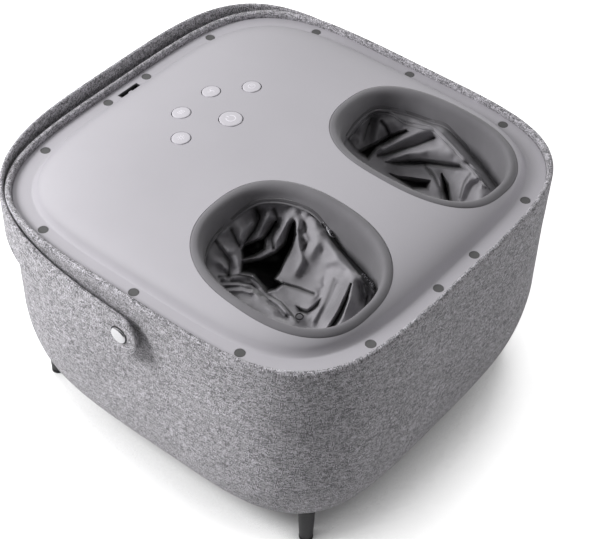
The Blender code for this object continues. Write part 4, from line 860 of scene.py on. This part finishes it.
# Ridges, creases and hollows of the gathered cloth: places in the frame, and heights in millimetres.
LEFT_CLOTH = (
    ((213, 257, 278), (221, 262, 280), (226, 269, 276)),
    ((234, 254, 276), (237, 263, 274), (236, 270, 270)),
    ((217, 242, 276), (223, 253, 273), (230, 263, 267), (229, 273, 266)),
    ((220, 267, 274), (227, 276, 265)),
    ((219, 233, 284), (226, 229, 284)),
    ((222, 247, 282), (229, 252, 281), (235, 249, 277)),
    ((224, 239, 275), (229, 242, 272)),
    ((231, 230, 278), (235, 238, 271), (239, 246, 264)),
    ((235, 222, 284), (243, 216, 284)),
    ((252, 222, 279), (247, 230, 276), (241, 241, 274)),
    ((240, 226, 282), (246, 222, 278)),
    ((249, 216, 278), (253, 213, 278)),
    ((256, 212, 272), (258, 219, 266)),
    ((253, 207, 284),),
    ((268, 207, 284), (267, 216, 281), (260, 229, 271), (250, 240, 262)),
    ((261, 213, 272), (258, 226, 266), (250, 235, 260), (244, 243, 262)),
    ((273, 209, 282), (276, 218, 276)),
    ((281, 212, 278), (282, 221, 271), (279, 229, 266)),
    ((288, 207, 284), (291, 212, 284)),
    ((301, 212, 284), (292, 218, 283), (284, 228, 278), (278, 238, 270), (274, 247, 262)),
    ((275, 225, 256), (268, 234, 256)),
    ((293, 225, 258), (289, 234, 256), (283, 246, 256)),
    ((296, 224, 279), (297, 236, 276), (300, 250, 272), (300, 262, 267), (296, 273, 261), (290, 281, 256)),
    ((291, 250, 256), (288, 262, 256), (283, 273, 256)),
    ((309, 216, 284), (317, 222, 284)),
    ((303, 225, 277), (302, 231, 274)),
    ((311, 226, 282), (309, 234, 279), (312, 243, 276), (308, 252, 272)),
    ((320, 233, 284), (317, 243, 280), (311, 253, 274), (306, 257, 270)),
    ((304, 241, 270), (306, 247, 268)),
    ((322, 250, 272), (328, 258, 272)),
    ((308, 265, 263), (318, 265, 264), (330, 268, 267)),
    ((305, 275, 257), (315, 277, 257), (326, 278, 258)),
    ((300, 283, 256), (312, 284, 256), (322, 286, 256)),
    ((312, 210, 283), (321, 222, 280), (328, 236, 278), (336, 249, 277), (345, 260, 276), (354, 270, 274),
     (364, 277, 272)),
    ((330, 262, 276), (338, 266, 276), (345, 272, 275)),
    ((288, 295, 256), (300, 301, 256), (312, 300, 256), (317, 295, 256)),
    ((350, 276, 281), (342, 286, 277), (336, 299, 272), (329, 313, 267), (322, 326, 264)),
    ((336, 277, 273), (330, 290, 268), (325, 303, 264), (319, 315, 260), (312, 328, 258)),
    ((337, 284, 268), (331, 298, 263), (325, 311, 258), (317, 326, 256)),
    ((326, 284, 256), (321, 300, 256), (313, 314, 256), (304, 324, 256)),
    ((355, 283, 279), (357, 295, 273), (357, 308, 268), (355, 317, 264)),
    ((361, 285, 268), (361, 300, 256)),
    ((365, 283, 274), (366, 294, 268)),
    ((368, 284, 268), (369, 294, 260)),
    ((372, 285, 275), (374, 292, 270)),
    ((222, 277, 279), (235, 276, 277), (247, 274, 273), (253, 276, 270), (259, 283, 266), (268, 293, 262),
     (281, 300, 262), (289, 310, 264), (297, 322, 267)),
    ((223, 281, 274), (236, 282, 271), (247, 285, 267), (255, 290, 263)),
    ((224, 284, 279), (238, 285, 277), (250, 288, 272), (259, 294, 268), (272, 303, 266), (285, 315, 268)),
    ((226, 287, 274), (240, 288, 272), (252, 290, 268), (262, 297, 263), (275, 307, 262), (287, 319, 265)),
    ((229, 290, 278), (243, 290, 277), (255, 294, 274), (266, 302, 271), (279, 313, 271)),
    ((231, 293, 273), (243, 292, 273), (253, 296, 270)),
    ((240, 298, 279), (250, 300, 278), (262, 307, 277), (275, 316, 275), (290, 325, 275)),
    ((248, 278, 265), (257, 286, 260), (266, 294, 257)),
    ((248, 268, 258), (262, 266, 252), (276, 262, 252), (262, 256, 256), (284, 258, 254)),
    ((300, 308, 256), (312, 308, 258)),
)
RIGHT_CLOTH = (
    ((372, 114, 274), (366, 125, 268), (361, 137, 261), (361, 149, 254)),
    ((354, 133, 266), (356, 142, 258)),
    ((371, 124, 262), (368, 136, 254), (368, 149, 250)),
    ((379, 114, 274), (376, 125, 268), (375, 137, 260)),
    ((386, 113, 276), (393, 121, 272), (398, 127, 266)),
    ((430, 129, 273), (414, 134, 270), (398, 141, 266), (382, 150, 262)),
    ((434, 138, 260), (420, 143, 257), (402, 149, 253), (382, 156, 250)),
    ((410, 128, 266), (396, 134, 259), (384, 142, 253)),
    ((446, 147, 271), (432, 147, 268), (414, 151, 264), (398, 155, 259), (386, 159, 254)),
    ((440, 134, 276), (450, 143, 274), (458, 152, 272), (464, 160, 270)),
    ((455, 157, 265), (442, 155, 265), (428, 154, 263)),
    ((404, 168, 250), (414, 170, 250), (424, 176, 250)),
    ((422, 161, 252), (430, 169, 252), (435, 180, 250), (439, 195, 250)),
    ((456, 172, 250), (457, 186, 250), (456, 200, 250)),
    ((468, 171, 264), (466, 181, 260), (462, 193, 257), (459, 203, 254)),
    ((478, 183, 256), (469, 189, 252), (464, 199, 250)),
    ((476, 191, 264), (472, 200, 260)),
    ((472, 170, 268), (479, 182, 266), (486, 194, 264)),
    ((404, 180, 250), (418, 184, 250), (428, 186, 250)),
    ((392, 161, 252), (410, 158, 254), (440, 162, 256), (460, 166, 256)),
)

# Hollows: drop along the view in millimetres, width of their lip in the frame, painted shade, outline in the
# frame.
LEFT_HOLLOWS = (
    (60, 4.0, 0.96, ((242, 262), (260, 259), (275, 252), (284, 243), (294, 221), (296, 235), (293, 246),
                     (287, 258), (281, 272), (276, 279), (284, 284), (276, 290), (267, 292), (258, 281),
                     (253, 275), (240, 273), (241, 266))),
    (45, 3.4, 0.95, ((241, 250), (244, 245), (262, 238), (276, 221), (272, 233), (266, 240), (265, 249),
                     (255, 256), (242, 260))),
    (30, 4.5, 0.92, ((351, 284), (348, 300), (341, 318), (334, 328), (328, 328), (338, 312), (346, 295))),
    (9, 4.0, 0.85, ((296, 306), (308, 310), (322, 298), (319, 306), (308, 315), (298, 312))),
)
RIGHT_HOLLOWS = (
    (25, 4.5, 0.95, ((358, 152), (375, 143), (392, 134), (406, 130), (408, 132), (392, 141), (378, 149),
                     (368, 160))),
    (30, 5.0, 0.95, ((390, 174), (398, 177), (430, 181), (428, 190), (412, 190))),
    (30, 4.5, 0.95, ((442, 174), (448, 184), (449, 188), (452, 203), (446, 204), (442, 192))),
    (14, 5.0, 0.75, ((385, 162), (420, 159), (442, 162), (460, 164), (467, 170), (452, 169), (430, 166),
                     (408, 166))),
)
# Creases: drop along the view in millimetres, half width in the frame, painted shade, line in the frame.
LEFT_CREASES = (
    (5, 1.6, 0.85, ((284, 284), (300, 289), (314, 294))),
    (4, 1.4, 0.8, ((231, 230), (235, 238), (239, 246))),
    (4, 1.6, 0.85, ((256, 206), (258, 213), (260, 219), (254, 231), (244, 243))),
    (3, 1.3, 0.6, ((215, 241), (223, 251), (230, 262), (229, 275))),
    (5, 1.6, 0.8, ((274, 209), (277, 219), (274, 230), (272, 240), (274, 248))),
    (3, 2.6, 0.4, ((268, 236), (270, 245), (260, 252), (250, 253))),
    (4, 1.4, 0.75, ((219, 277), (236, 275), (250, 276), (259, 284), (268, 294), (281, 302), (291, 313),
                    (298, 323))),
    (3, 1.2, 0.6, ((222, 282), (238, 281), (252, 285), (263, 295), (276, 305), (288, 317))),
    (2, 1.1, 0.5, ((226, 287), (240, 286), (252, 289), (262, 296))),
    (2, 9.0, 0.35, ((312, 262), (308, 274), (296, 280))),
    (1, 7.0, 0.25, ((345, 285), (340, 300), (330, 316))),
    (1, 6.0, 0.25, ((300, 238), (296, 256), (290, 270))),
    (3, 1.2, 0.5, ((304, 222), (306, 232), (309, 240), (303, 250))),
    (3, 3.0, 0.35, ((300, 232), (304, 246), (306, 262), (300, 276))),
    (4, 2.2, 0.5, ((334, 280), (328, 296), (321, 312), (316, 322))),
    (3, 1.2, 0.7, ((364, 284), (367, 296), (365, 308))),
    (3, 1.2, 0.7, ((370, 284), (373, 294), (371, 302))),
    (3, 1.1, 0.7, ((375, 288), (377, 294), (376, 300))),
)
RIGHT_CREASES = (
    (5, 1.6, 0.9, ((381, 121), (386, 127), (389, 134), (388, 139))),
    (4, 1.5, 0.65, ((378, 156), (400, 150), (420, 144), (435, 138))),
    (3, 1.2, 0.5, ((372, 118), (367, 128), (364, 140))),
    (4, 1.6, 0.6, ((425, 166), (434, 176), (440, 188), (442, 200))),
    (3, 1.4, 0.5, ((470, 174), (464, 184), (460, 198))),
    (3, 1.4, 0.5, ((349, 140), (355, 148), (362, 154))),
    (3, 9.0, 0.45, ((392, 170), (412, 172), (430, 172))),
    (3, 6.0, 0.45, ((441, 174), (450, 190), (452, 204))),
    (2, 5.0, 0.35, ((376, 122), (372, 134), (368, 144))),
    (2, 4.0, 0.40, ((350, 138), (356, 146), (364, 152))),
)

# Courses of the seam under the right collar, and the zip in the left hole, in the frame.
RIGHT_SEAM = ((344, 137), (357, 120), (370, 109), (378, 107), (390, 110), (402, 118), (420, 122), (433, 124),
              (441, 130), (455, 145), (468, 160), (480, 172), (492, 190))
LEFT_ZIP = ((321, 217), (331, 231), (341, 245), (351, 258), (360, 269), (368, 279), (376, 288))


# Least gap between the depth's knots in the frame, how far the cloth rounds them off, and how loosely it
# keeps to them.
KNOT_GAP = 1.6
ROUNDING = 3.0
KNOT_EASE = 0.12


def segment_gaps(places, line):
    """Distance in the frame from each place to a line of points."""
    best = np.full(len(places), 1e9)
    for a, b in zip(line[:-1], line[1:]):
        a, b = np.array(a, float), np.array(b, float)
        along = np.clip(((places - a) @ (b - a)) / ((b - a) @ (b - a)), 0, 1)
        best = np.minimum(best, np.hypot(*(places - a - along[:, None] * (b - a)).T))
    return best


def inside(places, ring):
    """Which places lie within a closed outline."""
    odd = np.zeros(len(places), bool)
    x, y = places.T
    for (ax, ay), (bx, by) in zip(ring, ring[1:] + ring[:1]):
        if ay != by:
            odd ^= ((ay > y) != (by > y)) & (x < ax + (y - ay) * (bx - ax) / (by - ay))
    return odd


def hollow_drop(side, places):
    """Drop along the view, in metres, and painted shade of the cloth at places in the frame, darker in its hollows
    and creases.
    """
    drop, light = np.zeros(len(places)), np.ones(len(places))
    for deep, lip, dark, ring in (RIGHT_HOLLOWS if side > 0 else LEFT_HOLLOWS):
        gap = segment_gaps(places, ring + ring[:1]) * np.where(inside(places, ring), 1, -1)
        share = np.clip(gap / lip + 0.35, 0, 1)
        share = share * share * (3 - 2 * share)
        drop = np.maximum(drop, share * deep / 1000)
        light = light * (1 - dark * share)
    for deep, lip, dark, line in (RIGHT_CREASES if side > 0 else LEFT_CREASES):
        share = np.exp(-(segment_gaps(places, line) / lip) ** 2)
        drop = drop + share * deep / 1000
        light = light * (1 - dark * share)
    return drop, light


def spread_points(line, step=3.6):
    """Points along a line, no further apart than step in the frame."""
    out = [np.array(line[0], float)]
    for a, b in zip(line[:-1], line[1:]):
        a, b = np.array(a, float), np.array(b, float)
        count = max(1, round(math.dist(a[:2], b[:2]) / step))
        out += [a + (b - a) * k / count for k in range(1, count + 1)]
    return out


def smooth_path(line, step, times):
    """Evenly spread points along a line, drawn smooth between its ends."""
    path = np.array(spread_points(line, step))
    for _ in range(times):
        path[1:-1] = (path[:-2] + 2 * path[1:-1] + path[2:]) / 4
    return path


def cloth_depth(side, rim):
    """A smooth depth through the cloth's lines and the collar's edge, as a function of places in the frame."""
    lines = RIGHT_CLOTH if side > 0 else LEFT_CLOTH
    spots = np.array([p for line in lines for p in spread_points(line)])
    rays = view_ray(spots[:, 0], spots[:, 1])
    depth = (spots[:, 2] / 1000 - EYE[2]) / rays[:, 2]
    knots = np.vstack([np.column_stack([spots[:, :2], depth]), rim[::5]])
    keep = []
    for i, p in enumerate(knots):
        if all(math.dist(p[:2], knots[j][:2]) > KNOT_GAP for j in keep):
            keep.append(i)
    knots = knots[keep]

    def kernel(a, b):
        return np.sqrt(((a[:, None, :2] - b[None, :, :2]) ** 2).sum(-1) + ROUNDING ** 2)

    level = knots[:, 2].mean()
    weights = np.linalg.solve(kernel(knots, knots) - KNOT_EASE * np.eye(len(knots)), knots[:, 2] - level)
    return lambda places: level + kernel(places, knots) @ weights


def mark_light(mesh, values):
    """Store painted shade for each point of the lining: a colour factor for how much of the light reaches it."""
    values = np.append(values, np.full(len(mesh.vertices) - len(values), values[-1]))
    mesh.attributes.new("painted_light", "FLOAT", "POINT").data.foreach_set("value", values)


def on_cloth(depth_at, lift):
    """A function that gives the point of the cloth seen at a place in the frame."""
    def place(x, y, more=0.0):
        spot = np.array([[x, y]], float)
        return EYE + view_ray(spot[:, 0], spot[:, 1])[0] * (depth_at(spot)[0] - lift - more)
    return place


def seam_pieces(depth_at, middle):
    """Two corded seams that run side by side under the right collar's edge."""
    for number, inset in ((1, 2.4), (2, 6.0)):
        place = on_cloth(depth_at, 0.0008)
        places = np.array(spread_points(RIGHT_SEAM, 2.5))
        places = places + (middle - places) / np.linalg.norm(middle - places, axis=1)[:, None] * inset
        for _ in range(6):
            places[1:-1] = (places[:-2] + 2 * places[1:-1] + places[2:]) / 4
        bead = tube(f"liner_right_seam_{number}", [place(x, y) for x, y in places], 0.0011, 10, closed=False)
        # painted shade: the seam beads' colour is darkened a little
        mark_light(bead.data, np.full(1, 0.8))
        dress(bead, LINING)


def zip_pieces(depth_at):
    """Zip in the left liner: tape, two rows of teeth, slider and its pull ring."""
    place = on_cloth(depth_at, 0.0045)
    path = smooth_path(LEFT_ZIP, 1.9, 4)
    rows = ribbon_rows([tuple(p) for p in path], 7.6, lambda x, y, lift: place(x, y, lift * 3))
    dress(solid("liner_left_zip_tape", rows, smooth=False), ZIP_TAPE)
    points, faces = [], []
    for k in range(1, len(path) - 1):
        along = (path[k + 1] - path[k - 1]) / np.linalg.norm(path[k + 1] - path[k - 1])
        across = np.array([-along[1], along[0]]) * (1 if k % 2 else -1)
        start = len(points)
        for lift in (0.0004, 0.0015):
            for a, c in ((-0.55, -0.7), (0.55, -0.7), (0.55, 1.9), (-0.55, 1.9)):
                shrink = 0.8 if lift > 0.001 else 1.0
                x, y = path[k] + along * a * shrink + across * (0.6 + (c - 0.6) * shrink)
                points.append(place(x, y, lift))
        faces += [tuple(start + i for i in f) for f in ((0, 3, 2, 1), (4, 5, 6, 7), (0, 1, 5, 4), (1, 2, 6, 5),
                                                        (2, 3, 7, 6), (3, 0, 4, 7))]
    mesh = bpy.data.meshes.new("zip_teeth")
    mesh.from_pydata([tuple(p) for p in points], [], faces)
    teeth = fix_normals(add_object("liner_left_zip_teeth", mesh, smooth=False))
    dress(teeth, ZIP_METAL)
    # slider: a tapered body over the teeth
    at = path[8]
    along = (path[9] - path[7]) / np.linalg.norm(path[9] - path[7])
    across = np.array([-along[1], along[0]])
    outline = ((-4.4, -1.8), (-4.4, 1.8), (-1.2, 2.9), (3.2, 3.3), (4.0, 2.5), (4.0, -2.5), (3.2, -3.3),
               (-1.2, -2.9))
    rows = []
    for lift, size in ((0.0003, 0.9), (0.0006, 1.0), (0.0019, 1.0), (0.0024, 0.86), (0.0026, 0.5)):
        rows.append([place(*(at + along * a * size + across * c * size), lift) for a, c in outline])
    dress(solid("liner_left_zip_slider", rows), ZIP_METAL)
    pull, loop = [], []
    for k in range(28):
        c, s = math.cos(2 * math.pi * k / 28), math.sin(2 * math.pi * k / 28)
        pull.append(place(*(at + along * (4.4 + 4.2 * c) + across * (0.9 + 2.0 * s)), 0.0032 - 0.0008 * c))
        loop.append(place(299.5 + 3.8 * c, 316.5 + 3.0 * s, 0.0012))
    dress(tube("liner_left_zip_pull", pull, 0.0006, 8), ZIP_METAL)
    dress(tube("liner_left_cord_ring", loop, 0.0007, 8), ZIP_TAPE)


def liner_piece(side, label, cols=320, rings=120):
    outline = hole_outline(side, -SKIRT_INSET, cols)
    edge = ring_at(outline, edge_height(side, ring_angles(side, outline)))
    rim = view_place(edge)
    depth_at = cloth_depth(side, rim)
    middle = rim[:, :2].mean(0)
    rows = [edge + np.array([0, 0, 0.005]), edge]
    # painted shade: the two edge rows under the collar are darkened in colour
    shade = [np.full(cols, EDGE_LIGHT)] * 2
    for share in np.linspace(1.0, 0.012, rings)[1:]:
        places = middle + (rim[:, :2] - middle) * share
        drop, light = hollow_drop(side, places)
        row = EYE + view_ray(places[:, 0], places[:, 1]) * (depth_at(places) + drop)[:, None]
        row[:, 2] = np.maximum(row[:, 2], LINING_LOWEST)
        fade = min(1.0, (1 - share) * 12)
        for i in range(cols):
            p = Vector(row[i])
            push = noise.noise_vector(p * 62 + Vector((side * 7.0, 0, 0))) * 0.0006
            push += noise.noise_vector(p * 150) * 0.0002
            row[i] = row[i] + np.array(push) * fade
        rows.append(row)
        # painted shade: a dark line in the cloth's colour along the collar's edge
        gap = (1 - share) * np.linalg.norm(rim[:, :2] - middle, axis=1)
        shade.append(light * (1 - 0.65 * np.exp(-(gap / 2.2) ** 2)))
    name = "liner_" + label + "_cloth"
    mesh = grid(name, rows, cap_last=True)
    mark_light(mesh, np.concatenate(shade))
    obj = add_object(name, mesh)
    thicken(obj, LINING_CLOTH)
    dress(obj, LINING, replaces=["liner_" + label])
    if side > 0:
        seam_pieces(depth_at, middle)
    else:
        zip_pieces(depth_at)


for side, label in SIDES:
    collar_piece(side, label)
    liner_piece(side, label)


# Handle, studs, buttons, magnets, feet, catch and airbags

HANDLE_W = BODY_W + 0.004
HANDLE_D = BODY_D + 0.0075
HANDLE_T = 0.0046
HANDLE_EXP = 3.85
HANDLE_LEAN = 0.003
TAB_HALF = 0.0255
TAB_REACH = 0.0215
STRAP_GROW = 0.0007
STRAP_LIFT = 0.029
STUD_OUT = BODY_W + 0.003 + 0.006 + 0.0003


def handle_end(side):
    """Stations from the rounded end of a tab up to its stud."""
    out = []
    for phi in (88, 84, 79, 73, 66, 58, 50, 41, 32, 22, 12):
        share = math.sin(math.radians(phi))
        half = TAB_HALF * math.cos(math.radians(phi))
        out.append(((side * HANDLE_W, -TAB_REACH * share), (float(side), 0.0), half, PIVOT, share))
    return out


def handle_stations():
    """(middle, outward direction, half height, height, share of the rounded end) along the strap."""
    out = handle_end(1)
    for k in range(181):
        angle = math.pi * k / 180
        cosine, sine = math.cos(angle), max(0.0, math.sin(angle))
        along = math.copysign(abs(cosine) ** (2 / HANDLE_EXP), cosine)
        across = sine ** (2 / HANDLE_EXP)
        outward = Vector((math.copysign(abs(along) ** (HANDLE_EXP - 1), along) / HANDLE_W,
                          across ** (HANDLE_EXP - 1) / HANDLE_D)).normalized()
        rise = across ** 1.5
        out.append(((HANDLE_W * along + HANDLE_LEAN * rise, HANDLE_D * across), tuple(outward),
                    TAB_HALF + STRAP_GROW * across, PIVOT + STRAP_LIFT * rise, 0.0))
    return out + handle_end(-1)[::-1]


def strap_section(half, thick_share):
    """(away, up) round the strap: flat faces and round edges."""
    t = HANDLE_T / 2
    thick = t * math.sqrt(max(0.02, 1 - max(0.0, (thick_share - 0.93) / 0.07) ** 2))
    edge = min(t, half * 0.8)
    points = []
    for k in range(9):
        a = math.pi + math.pi * k / 8
        points.append((t + thick * math.cos(a), -(half - edge) + edge * math.sin(a)))
    flat = [-1 + 2 * k / 14 for k in range(1, 14)]
    seam = 1 - 0.0042 / max(half, 0.006)
    flat = sorted(flat + [sign * (seam + d) for sign in (-1, 1) for d in (-0.03, 0.0, 0.03)])
    for share in flat:
        groove = 0.0004 if abs(abs(share) - seam) < 0.005 and thick_share < 0.9 else 0.0
        points.append((t + thick - groove, (half - edge) * share))
    for k in range(9):
        a = math.pi * k / 8
        points.append((t + thick * math.cos(a), (half - edge) + edge * math.sin(a)))
    for k in range(1, 14):
        points.append((t - thick, (half - edge) - 2 * (half - edge) * k / 14))
    return points


def handle_piece():
    rows, run, travelled, last = [], [], 0.0, None
    for middle, outward, half, height, share in handle_stations():
        if last is not None:
            travelled += math.hypot(middle[0] - last[0], middle[1] - last[1])
        last = middle
        run.append(travelled)
        ring = [(middle[0] + outward[0] * away, middle[1] + outward[1] * away, height + up)
                for away, up in strap_section(half, share)]
        rows.append(shift(np.array(ring)))
    section = strap_section(0.02, 0)
    round_it = [0.0]
    for a, b in zip(section, section[1:] + section[:1]):
        round_it.append(round_it[-1] + math.hypot(b[0] - a[0], b[1] - a[1]))
    obj = solid("handle_strap", rows, uv=lambda r, c: (run[r], round_it[c]))
    dress(obj, TWEED, body="handle", replaces=["carry_handle"])


def studs():
    ring_profile = ((0.0, 0.0), (0.0100, 0.0), (0.0103, 0.0004), (0.0102, 0.0010), (0.0096, 0.0013),
                    (0.0090, 0.0012))
    cap_profile = ((0.0, 0.0004), (0.0088, 0.0004), (0.0090, 0.0016), (0.0087, 0.0026), (0.0078, 0.0032),
                   (0.0060, 0.0036), (0.0030, 0.0038), (0.0, 0.0038))
    for side, label in SIDES:
        place = {"segments": 64, "axis": (side, 0, 0), "at": (side * (STUD_OUT - 0.0016), SHIFT, PIVOT)}
        dress(lathe("stud_ring_" + label, ring_profile, **place), BLACK)
        cap = lathe("stud_cap_" + label, cap_profile, **place)
        dress(cap, CHROME, replaces=["handle_stud_" + label])


def cap_height(r, radius):
    """Top of a button cap over its rim plane, at a distance from its middle."""
    return 0.0005 + 0.0004 * (1 - (min(r, radius) / radius) ** 2)


def arc(radius, start, end, n=24, x=0.0, y=0.0):
    """Points on part of a circle, in degrees."""
    a = np.radians(np.linspace(start, end, n))
    return [(x + radius * math.cos(t), y + radius * math.sin(t)) for t in a]


def icon_lines(name):
    """Strokes of a cap's symbol, in metres about its middle."""
    if name == "power_button":
        return [arc(0.0048, 125, 415, 40), [(0.0, 0.0022), (0.0, 0.0060)]]
    if name == "left_outer_button":
        rays = [[(0.0026 * math.cos(t), 0.0026 * math.sin(t)), (0.0040 * math.cos(t), 0.0040 * math.sin(t))]
                for t in np.radians(np.arange(0, 360, 45))]
        return [arc(0.0016, 0, 360, 24)] + rays
    if name == "left_inner_button":
        wave = [(0.0006 * math.sin(k * math.pi / 6), -0.0030 + 0.0005 * k) for k in range(13)]
        return [[(x + dx, y) for x, y in wave] for dx in (-0.0024, 0.0, 0.0024)]
    if name == "right_inner_button":
        blades = [arc(0.0015, turn, turn + 200, 14, 0.0022 * math.cos(math.radians(turn)),
                      0.0022 * math.sin(math.radians(turn))) for turn in (30, 150, 270)]
        return blades + [arc(0.0005, 0, 360, 12)]
    return [arc(0.0036, 0, 360, 36), [(0.0, 0.0022), (0.0, 0.0), (0.0016, -0.0008)]]


def icon_piece(name, body, radius, at, turn):
    def place(x, y, lift):
        r = math.hypot(x, y)
        return np.array(at + turn @ Vector((x, y, cap_height(r, radius) + lift)))

    b = bmesh.new()
    width = 0.0010 if name == "power_button" else 0.0007
    for line in icon_lines(name):
        mesh = grid("stroke", ribbon_rows(line, width, place), cap_first=True, cap_last=True)
        b.from_mesh(mesh)
        bpy.data.meshes.remove(mesh)
    mesh = bpy.data.meshes.new(body + "_symbol")
    b.to_mesh(mesh)
    b.free()
    dress(fix_normals(add_object(body + "_symbol", mesh, smooth=False)), ICON, body=body)


def buttons():
    for name, body, x, y, radius in BUTTONS:
        normal = panel_normal(x, y)
        at = Vector((x, y + SHIFT, float(panel_height(x, y))))
        profile = [(0.0, -0.006), (radius - 0.0003, -0.006), (radius - 0.0003, 0.0001), (radius - 0.0005, 0.0004)]
        for k in range(8):
            r = (radius - 0.0010) * (1 - k / 8)
            profile.append((r, cap_height(r, radius)))
        profile.append((0.0, cap_height(0.0, radius)))
        cap = lathe(body + "_cap", profile, 56, normal, at, 50)
        dress(cap, BUTTON, body=body, replaces=[name])
        icon_piece(name, body, radius, at, tilt(normal))


def magnets():
    profile = ((0.0, -0.002), (0.0050, -0.002), (0.0050, -0.0002), (0.0048, -0.00002), (0.003, -0.00002),
               (0.0, -0.00002))
    for index, (x, y) in enumerate(magnet_places(), 1):
        piece = lathe(f"magnet_disc_{index:02d}", profile, 40, None, (x, y + SHIFT, FLANGE))
        dress(piece, MAGNET, replaces=[f"magnet_{index:02d}"])


def seat_height(x, y):
    """Height of the body's underside over a place near a leg."""
    flat_w, flat_d = BODY_W - WAIST_IN_W - ROUND_W, BODY_D - WAIST_IN_D - ROUND_W
    share = ((abs(x) / flat_w) ** PLAN + (abs(y) / flat_d) ** PLAN) ** (1 / PLAN)
    beyond = max(0.0, share - 1) * flat_w / ROUND_W
    return BOTTOM + ROUND_H * (1 - math.sqrt(max(0.0, 1 - beyond ** 2)))


def feet():
    pad_profile = ((0.0, 0.0), (0.0066, 0.0), (0.0073, 0.0007), (0.0073, 0.0033), (0.0068, 0.0040), (0.0, 0.0040))
    for x, y in [(sx * LEG_X, y) for sx in (-1, 1) for y in LEG_Y]:
        label = ("front" if y < 0 else "back") + ("_left" if x < 0 else "_right")
        rows = []
        for r, z in ((0.0066, 0.0043), (0.0069, 0.0046), (0.0071, 0.0055), (0.0085, None)):
            ring = circle_points(x, y, r, 40)
            rows.append(ring_at(ring, z or np.array([seat_height(px, py) - 0.0002 for px, py in ring])))
        leg = sharpen(solid("leg_turned_" + label, rows), 45)
        dress(leg, BLACK, replaces=["leg_" + label])
        pad = lathe("foot_disc_" + label, pad_profile, 40, None, (x, y + SHIFT, 0))
        dress(pad, RUBBER, replaces=["foot_pad_" + label])


def catch_tongue():
    """The bright tongue in the middle of the lid catch's socket."""
    y = PANEL_D - SOCKET_INSET - 0.0017 + SHIFT
    rows = []
    for inset, z in ((0.0, 0.2672), (0.0, 0.2730), (0.0003, 0.2736), (0.0008, 0.2738)):
        rows.append([(sx * (0.0024 - inset), y + sy * (0.0017 - inset), z)
                     for sx, sy in ((-1, -1), (1, -1), (1, 1), (-1, 1))])
    dress(solid("catch_tongue", rows, smooth=False), SILVER)


def airbag(label):
    """A welded air pillow: two swollen faces and a flat seam round its edge."""
    low, high = (np.array(v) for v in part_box("airbag_" + label))
    middle, half = (low + high) / 2, (high - low) / 2
    rows = []
    for share, lift in ((0.04, 1.0), (0.2, 0.99), (0.4, 0.94), (0.6, 0.82), (0.74, 0.64), (0.85, 0.42),
                        (0.92, 0.2), (0.94, 0.06), (1.0, 0.05)):
        ring = superellipse(half[0] * share, half[1] * share, 3.0, 72) + middle[:2]
        puff = [lift * (1 + 0.05 * noise.noise(Vector((x * 60, y * 60, 1.0)))) / 1.05 for x, y in ring]
        rows.append(np.column_stack([ring, middle[2] + half[2] * np.array(puff)]))
    under = [np.column_stack([r[:, :2], 2 * middle[2] - r[:, 2]]) for r in reversed(rows)]
    obj = solid("airbag_" + label + "_pillow", rows + under)
    dress(obj, AIRBAG, replaces=["airbag_" + label])


def finish_nodes():
    """Materials of the CAD nodes that show as they are."""
    finishes = (
        (BLACK, ("tub_shell", "bottom_cover", "latch_socket", "foot_well_left", "foot_well_right", "air_pump",
                 "power_inlet")),
        (ROLLER, ("heel_roller", "toe_roller", "valve_block")), (BELT, ("link_belt", "drive_belt")),
        (STEEL, ("drive_frame", "motor")), (CHROME, ("motor_pulley",)), (BOARD, ("control_board", "power_board")),
    )
    for material, names in finishes:
        for name in names:
            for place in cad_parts[name].material_slots:
                place.material = material


handle_piece()
studs()
buttons()
magnets()
feet()
catch_tongue()
for _, label in SIDES:
    airbag(label)
finish_nodes()
